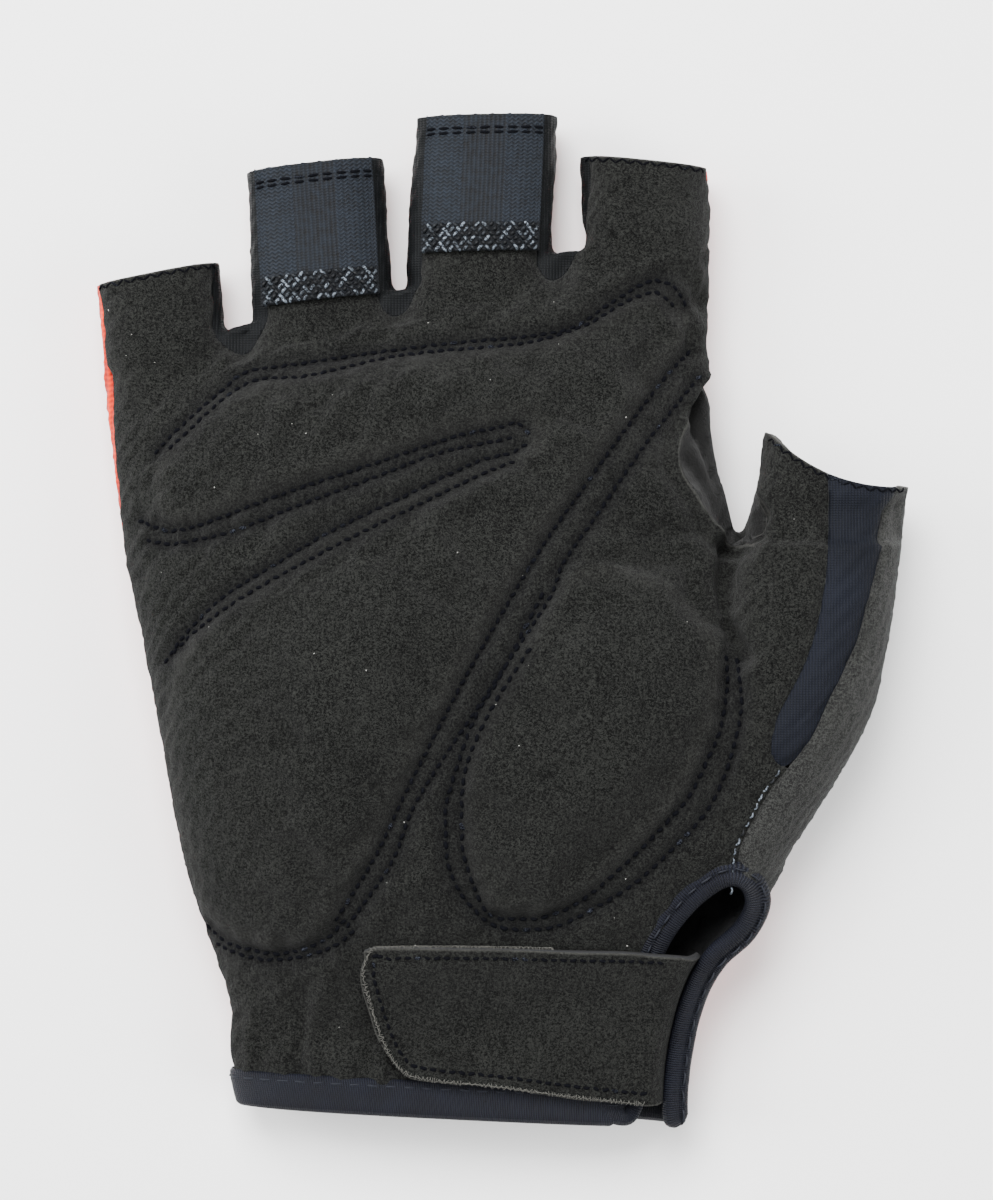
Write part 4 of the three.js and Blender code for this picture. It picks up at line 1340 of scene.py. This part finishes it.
def patch(name, corner, across, up, size, side, lift, step, thickness, materials):
    """A grid over a rectangle, cut where side is below zero, laid on the skin and raised by lift."""
    columns, rows_up = int(round(size[0] / step)), int(round(size[1] / step))
    u, v = np.meshgrid(np.linspace(0, size[0], columns + 1), np.linspace(0, size[1], rows_up + 1))
    uv = np.column_stack([u.ravel(), v.ravel()])
    flat = corner + uv[:, :1] * across + uv[:, 1:] * up
    points, _ = drop(flat)
    points[:, :2] = flat
    points[:, 2] = blurred(points[:, 2].reshape(rows_up + 1, columns + 1), STIFFNESS).ravel()
    grid = points.reshape(rows_up + 1, columns + 1, 3)
    ups = unit(np.cross(np.gradient(grid, axis=1), np.gradient(grid, axis=0))).reshape(-1, 3)
    points = points + ups * lift(uv, flat)[:, None]
    index = np.arange((rows_up + 1) * (columns + 1)).reshape(rows_up + 1, columns + 1)
    corners = (index[:-1, :-1], index[:-1, 1:], index[1:, 1:], index[1:, :-1])
    a, b, c, d = (i.ravel() for i in corners)
    tris = np.vstack([np.column_stack([a, b, c]), np.column_stack([a, c, d])])
    edge, far = side(uv, flat), np.full(len(uv), 1.0)
    cloth = Cloth(points, tris, u=uv[:, 0], v=uv[:, 1], open=edge, row=far, pad=-far).cut(edge)
    made = mesh_object(name, cloth.points, cloth.tris.tolist())
    keep_length(made, np.column_stack([cloth.marks["u"], cloth.marks["v"]]))
    keep_marks(made, cloth)
    return walled(made, thickness, materials, offset=1.0)


print("a slope stays a slope:", blurred(np.add.outer(np.arange(5.0), np.zeros(5)), 1)[2].tolist())

# %% The wrist strap
# how high the strap lies, how thick it is and the step of its grid
STRAP_LIFT, STRAP_THICKNESS, STRAP_GRID = 1.5 * MM, 1.1 * MM, 0.6 * MM
strap_low, strap_high = strap_outline.min(0) - MM, strap_outline.max(0) + MM
tape_edge, flap_edge = curve(spot(SLIT)[1:7]), curve(spot(SLIT)[9:])


def strap_lift(uv, flat):
    """The strap rides over the slit's left tape and dips under the flap's tape."""
    over_tape = 0.4 * MM * hump(line_distance(flat, tape_edge)[0], 5 * MM)
    under_flap = 4.2 * MM * (1 - ramp(line_distance(flat, flap_edge)[0], 0, 4.0 * MM))
    uneven = 0.1 * MM * ripple(np.column_stack([flat, flat[:, 0]]), 14 * MM, 21)
    return STRAP_LIFT + over_tape - under_flap + uneven


strap = patch("strap", strap_low, np.array([1.0, 0]), np.array([0, 1.0]), strap_high - strap_low,
              lambda uv, flat: inside_distance(flat, strap_outline), strap_lift,
              STRAP_GRID, STRAP_THICKNESS, (palm_suede, lining, lining))
dressed(strap, "palm_suede", "wrist_strap")
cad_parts["hook_patch"].data.materials.clear()
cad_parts["hook_patch"].data.materials.append(hook_plastic)
strap_top = BVHTree.FromPolygons(*(a.tolist() for a in triangles_of(strap.data)))
print("strap:", len(strap.data.polygons), "faces")

# %% The pull tabs
TAB_WIDTH, TAB_LENGTH = 18.6 * MM, 22.2 * MM
TAB_LIFT, TAB_THICKNESS, TAB_GRID = 0.25 * MM, 1.0 * MM, 0.45 * MM
TAB_MARGIN = 0.2 * MM


def tab_side(uv, flat):
    """Inside a tab: straight at its foot and sides, scalloped at the finger's end."""
    u, v = uv.T
    scallops = 0.35 * MM * np.abs(np.sin(u / (2.6 * MM) * math.pi))
    return np.minimum.reduce([u + TAB_MARGIN, TAB_WIDTH - u + TAB_MARGIN, v + TAB_MARGIN,
                              TAB_LENGTH - scallops - v])


tabs = {}
for name in ("ring", "middle"):
    stall = stalls[name]
    corner = stall["end"] - stall["along"] * TAB_LENGTH - stall["across"] * TAB_WIDTH / 2
    tabs[name] = patch(f"tab_{name}", corner, stall["across"], stall["along"], (TAB_WIDTH, TAB_LENGTH),
                       tab_side, lambda uv, flat: np.full(len(uv), TAB_LIFT),
                       TAB_GRID, TAB_THICKNESS, (webbing, lining, webbing))
    dressed(tabs[name], "webbing", f"pull_tab_{name}")
print("tabs:", {n: len(t.data.polygons) for n, t in tabs.items()})

# %% [markdown]
# ## Stitches
# A stitch is a short arch of thread that dives into the cloth at both ends. Geometry Nodes set one
# at every step along a path. Real rows have a steady pitch with a little unevenness.

# %% Trees with named inputs
def new_tree(name, geometry, made, **numbers):
    """A Geometry Nodes tree with named inputs: a geometry, numbers with usual values, a material."""
    tree = bpy.data.node_groups.new(name, "GeometryNodeTree")
    new_socket = tree.interface.new_socket
    new_socket(geometry, in_out="INPUT", socket_type="NodeSocketGeometry")
    for socket, value in numbers.items():
        new_socket(socket, in_out="INPUT", socket_type="NodeSocketFloat").default_value = value
    new_socket("Material", in_out="INPUT", socket_type="NodeSocketMaterial")
    new_socket(made, in_out="OUTPUT", socket_type="NodeSocketGeometry")
    return tree


def closing(g, instances, material):
    """The last nodes of a tree: real geometry with its material."""
    made = g.node("GeometryNodeRealizeInstances", {}, {"Geometry": instances})
    made = g.node("GeometryNodeSetMaterial", {}, {"Geometry": made, "Material": material})
    g.node("NodeGroupOutput", {}, {0: made})


def grown(thing, tree, **inputs):
    """Runs a tree on an object, with its inputs set by their sockets' identifiers."""
    nodes = thing.modifiers.new(tree.name, "NODES")
    nodes.node_group = tree
    sockets = {s.name: s.identifier for s in tree.interface.items_tree if s.in_out == "INPUT"}
    for name, value in inputs.items():
        nodes[sockets[name]] = value
    return applied(thing)


print("tree helpers ready")


# %% The tree that sews
def sewing_tree():
    """Puts an arch of thread at every step along the paths in a mesh."""
    tree = new_tree("row_of_stitches", "Paths", "Stitches", Pitch=0.00145, Length=0.001, Thread=0.00018,
                    Arch=0.0003, Tilt=0.0, Wobble=0.09)
    g = Graph(tree)
    given = g.node("NodeGroupInput")
    line = g.node("GeometryNodeMeshToCurve", {}, {"Mesh": given})
    line = g.node("GeometryNodeResampleCurve", {"mode": "LENGTH"},
                  {"Curve": line, "Length": given.part("Pitch")})
    half = given.part("Length") * 0.5
    foot = given.part("Thread") * -1.2

    def at(x, z):
        return g.node("ShaderNodeCombineXYZ", {}, {0: x, 2: z})

    arch = g.node("GeometryNodeCurveQuadraticBezier", {}, {
        "Resolution": 5, "Start": at(half * -1, foot), "Middle": at(half * 0, given.part("Arch") * 2.0),
        "End": at(half, foot)})
    ring = g.node("GeometryNodeCurvePrimitiveCircle", {}, {"Resolution": 6, "Radius": given.part("Thread")})
    stitch = g.node("GeometryNodeCurveToMesh", {}, {"Curve": arch, "Profile Curve": ring, "Fill Caps": True})
    up = g.node("GeometryNodeInputNamedAttribute", {"data_type": "FLOAT_VECTOR"}, {"Name": "up"})
    along = g.node("GeometryNodeInputTangent")
    turn = g.node("FunctionNodeAxesToRotation", {"primary_axis": "Z", "secondary_axis": "X"},
                  {0: up, 1: along})
    swing = 1 - g.node("GeometryNodeInputIndex") % 2.0 * 2
    wobble = g.chance(-1.0, 1.0, 7) * given.part("Wobble")
    angle = g.node("FunctionNodeAxisAngleToRotation", {}, {
        "Axis": (0.0, 0.0, 1.0), "Angle": swing * given.part("Tilt") + wobble})
    turn = g.node("FunctionNodeRotateRotation", {"rotation_space": "LOCAL"}, {0: turn, 1: angle})
    row = g.node("GeometryNodeInstanceOnPoints", {}, {
        "Points": line, "Instance": stitch, "Rotation": turn, "Scale": g.chance(0.9, 1.08, 3)})
    row = g.node("GeometryNodeStoreNamedAttribute", {"data_type": "FLOAT", "domain": "INSTANCE"},
                 {"Geometry": row, "Name": "tone", "Value": g.chance(0.0, 1.0, 11)})
    closing(g, row, given.part("Material"))
    return tree


SEWING = sewing_tree()


def sewn(name, paths, material, slot, **inputs):
    """Stitches along paths, each of them points with the surface's normals."""
    edges, start = [], 0
    for path, _ in paths:
        edges += [(start + i, start + i + 1) for i in range(len(path) - 1)]
        start += len(path)
    made = mesh_object(name, np.vstack([path for path, _ in paths]), [], edges)
    ups = np.vstack([normals for _, normals in paths])
    made.data.attributes.new("up", "FLOAT_VECTOR", "POINT").data.foreach_set("vector", ups.ravel())
    grown(made, SEWING, Material=material, **inputs)
    made.data.polygons.foreach_set("use_smooth", [True] * len(made.data.polygons))
    print(name, len(made.data.polygons), "faces")
    return dressed(made, slot)


# %% Rows of the palm
ON_SUEDE = 0.1 * MM
thumb_seam = curve(spot(THUMB_WRIST_SEAM)) + (-0.8 * MM, 0.3 * MM)
sewn("palm_stitches", [drop(rows[name], ON_SUEDE) for name in ROWS], thread, "binding_tape",
     Pitch=0.0016, Length=0.00082, Thread=0.0003, Arch=0.00022, Tilt=0.22, Wobble=0.2)
sewn("pad_stitches", [drop(rows[name], ON_SUEDE) for name in DOTTED_ROWS], thread, "binding_tape",
     Pitch=0.0018, Length=0.0009, Thread=0.00033, Arch=0.00022, Tilt=0.15, Wobble=0.25)
sewn("thumb_seam_stitches", [drop(thumb_seam, ON_SUEDE)], pale_thread, "pale_suede",
     Pitch=0.0016, Length=0.001, Thread=0.00016, Arch=0.00025)

# %% Rows of the strap and of the tapes
ON_TAPE = 0.72 * MM
strap_sewn_end = curve(spot(STRAP[4:8]))


def moved_in(outline, distance):
    """A closed outline moved inwards."""
    along = unit(np.roll(outline, -1, 0) - np.roll(outline, 1, 0))
    inwards = np.column_stack([-along[:, 1], along[:, 0]])
    probe = inside_distance(outline + inwards * 0.3 * MM, outline) > 0
    return outline + np.where(probe[:, None], inwards, -inwards) * distance


def round_strap(inset, stride):
    """A line on the strap inside its outline, without the end that is sewn under the flap."""
    line = moved_in(strap_outline[:-1], inset)
    line = np.roll(line, -int(np.argmax(line[:, 0])), axis=0)
    line = curve(line[line_distance(line, strap_sewn_end)[0] > 2.6 * MM][::stride])
    return drop(line, 0.05 * MM, strap_top)


sewn("strap_stitches", [round_strap(2.0 * MM, 4)], thread, "binding_tape",
     Pitch=0.00155, Length=0.00085, Thread=0.00028, Arch=0.00022, Tilt=0.2, Wobble=0.2)
cuff_row = hem_path + hem_away * 4.2 * MM + hem_up * ON_TAPE
slit_row = slit_points + slit_away * 2.3 * MM + slit_ups * ON_TAPE
tape_rows = [(cuff_row[4:-4], hem_up[4:-4]), (slit_row[4:-4], slit_ups[4:-4])]
sewn("tape_stitches", tape_rows, tape_thread, "binding_tape",
     Pitch=0.0029, Length=0.0019, Thread=0.00017, Arch=0.0002)

# %% Rows and foot bands of the pull tabs
# how far each row is from the tab's end, and how far each foot row is from its foot and sides
TAB_ROWS = (2.3 * MM, 3.1 * MM)
FOOT_ROWS = ((0.45, 0.4), (1.2, 0.95), (1.95, 0.4), (2.7, 0.95), (3.45, 0.4), (4.2, 0.95))


def across_tab(stall, top, v, margin=0.6 * MM):
    """A line across a tab, v from its foot."""
    u = np.linspace(margin, TAB_WIDTH - margin, 50)[:, None]
    corner = stall["end"] - stall["along"] * (TAB_LENGTH - v) - stall["across"] * TAB_WIDTH / 2
    return drop(corner + u * stall["across"], 0.02 * MM, top)


for name, tab in tabs.items():
    here = stalls[name], BVHTree.FromPolygons(*(a.tolist() for a in triangles_of(tab.data)))
    ends = [across_tab(*here, TAB_LENGTH - distance) for distance in TAB_ROWS]
    sewn(f"tab_stitches_{name}", ends, thread, "binding_tape",
         Pitch=0.0021, Length=0.0016, Thread=0.0002, Arch=0.0003)
    knots = [across_tab(*here, v * MM, margin * MM) for v, margin in FOOT_ROWS]
    sewn(f"tab_foot_{name}", knots, pale_thread, "webbing",
         Pitch=0.00112, Length=0.00085, Thread=0.00024, Arch=0.00045, Tilt=0.85)

# %% [markdown]
# ## Raw edges
# The little finger, the index finger and the thumb end in a raw cut with a fine zigzag of thread,
# which the sewing tree makes with a strong tilt. The same tree makes the strap's fuzz: fibres are
# very thin stitches that are close together and turned by chance.


# %% Raw finger ends
def end_row(a, b, inset, sag=0.0):
    """A line beside an open end, from one corner to the other."""
    across = (b - a) / np.linalg.norm(b - a)
    square = np.array([-across[1], across[0]])
    share = np.linspace(0.04, 0.96, 60)[:, None]
    flat = a + share * (b - a) - square * (inset + sag * (1 - (2 * share - 1) ** 2))
    return drop(flat, 0.05 * MM)


END_INSET = 0.6 * MM
end_rows = [end_row(*end_corners(stalls[name]), END_INSET) for name in ("little", "index")]
end_rows.append(end_row(*thumb_sections[-1][:2], END_INSET, THUMB_SAG))
sewn("end_stitches", end_rows, thread, "binding_tape",
     Pitch=0.0011, Length=0.0012, Thread=0.00016, Arch=0.0002, Tilt=0.6)

# %% Fuzz on the strap's raw edge
sewn("strap_fuzz", [round_strap(0.35 * MM, 3)], fuzz, "palm_suede",
     Pitch=0.00028, Length=0.0008, Thread=0.00004, Arch=0.0003, Tilt=0.4, Wobble=1.4)

# %% [markdown]
# ## Lint
# Suede picks up dust. A few pale specks make it look worn and show its scale. They are scattered by
# a tree over the faces that look up, and flattened so that they lie on the pile.


# %% Lint on the suede
def lint_tree():
    """Scatters tiny flattened specks over the faces that look up."""
    tree = new_tree("lint_on_cloth", "Cloth", "Specks", **{"Per square metre": 3000, "Size": 0.00009})
    g = Graph(tree)
    given = g.node("NodeGroupInput")
    up = g.node("ShaderNodeSeparateXYZ", {}, {0: g.node("GeometryNodeInputNormal")}).part("Z")
    places = g.node("GeometryNodeDistributePointsOnFaces", {}, {
        "Mesh": given, "Selection": up > 0.6, "Density": given.part("Per square metre"), "Seed": 5})
    speck = g.node("GeometryNodeMeshIcoSphere", {}, {"Radius": given.part("Size"), "Subdivisions": 1})
    specks = g.node("GeometryNodeInstanceOnPoints", {}, {
        "Points": places, "Instance": speck, "Scale": g.chance((0.5, 0.5, 0.3), (2.2, 1.2, 0.6), 9),
        "Rotation": g.chance((-0.3, -0.3, 0.0), (0.3, 0.3, 6.28), 2)})
    closing(g, specks, given.part("Material"))
    return tree


specks = bpy.data.objects.new("lint_specks", panels["palm"].data.copy())
bpy.context.scene.collection.objects.link(specks)
grown(specks, lint_tree(), Material=lint)
dressed(specks, "palm_suede")
print("lint:", len(specks.data.polygons), "faces")

# %% [markdown]
# ## What is cloth
# Every panel, tape and tab is flat cloth before it is sewn.

# %% [markdown]
# ## Floor and light
# A pale floor and three large soft lamps give the even light of a product photograph.

# %% The floor
REACH = 3.0
floor_corners = [(-REACH, -REACH, 0), (REACH, -REACH, 0), (REACH, REACH, 0), (-REACH, REACH, 0)]
floor = mesh_object("floor", floor_corners, [(0, 1, 2, 3)])
floor_finish = bpy.data.materials.new("floor_paper")
floor_finish.use_nodes = True
floor_inputs = floor_finish.node_tree.nodes["Principled BSDF"].inputs
floor_inputs["Base Color"].default_value = (0.9, 0.9, 0.9, 1)
floor_inputs["Roughness"].default_value = 0.9
floor.data.materials.append(floor_finish)
print("floor:", floor.name)


# %% Lamps and sky
def lamp(name, place, size, power):
    """A square soft lamp that faces the glove."""
    data = bpy.data.lights.new(name, "AREA")
    data.size = size
    data.energy = power
    made = bpy.data.objects.new(name, data)
    made.location = place
    x, y, z = place
    made.rotation_euler = (math.acos(z / np.linalg.norm(place)), 0, math.atan2(y, x) + math.pi / 2)
    bpy.context.scene.collection.objects.link(made)


lamp("top_light", (-0.15, 0.45, 0.75), 0.5, 24.0)
lamp("left_light", (-0.7, 0.1, 0.5), 0.5, 11.0)
lamp("right_light", (0.7, -0.2, 0.55), 0.6, 9.0)
world = bpy.data.worlds.new("studio")
world.use_nodes = True
sky = world.node_tree.nodes["Background"].inputs
sky["Color"].default_value = (1, 1, 1, 1)
sky["Strength"].default_value = 0.7
bpy.context.scene.world = world
print("lights:", [light.name for light in bpy.data.lights])
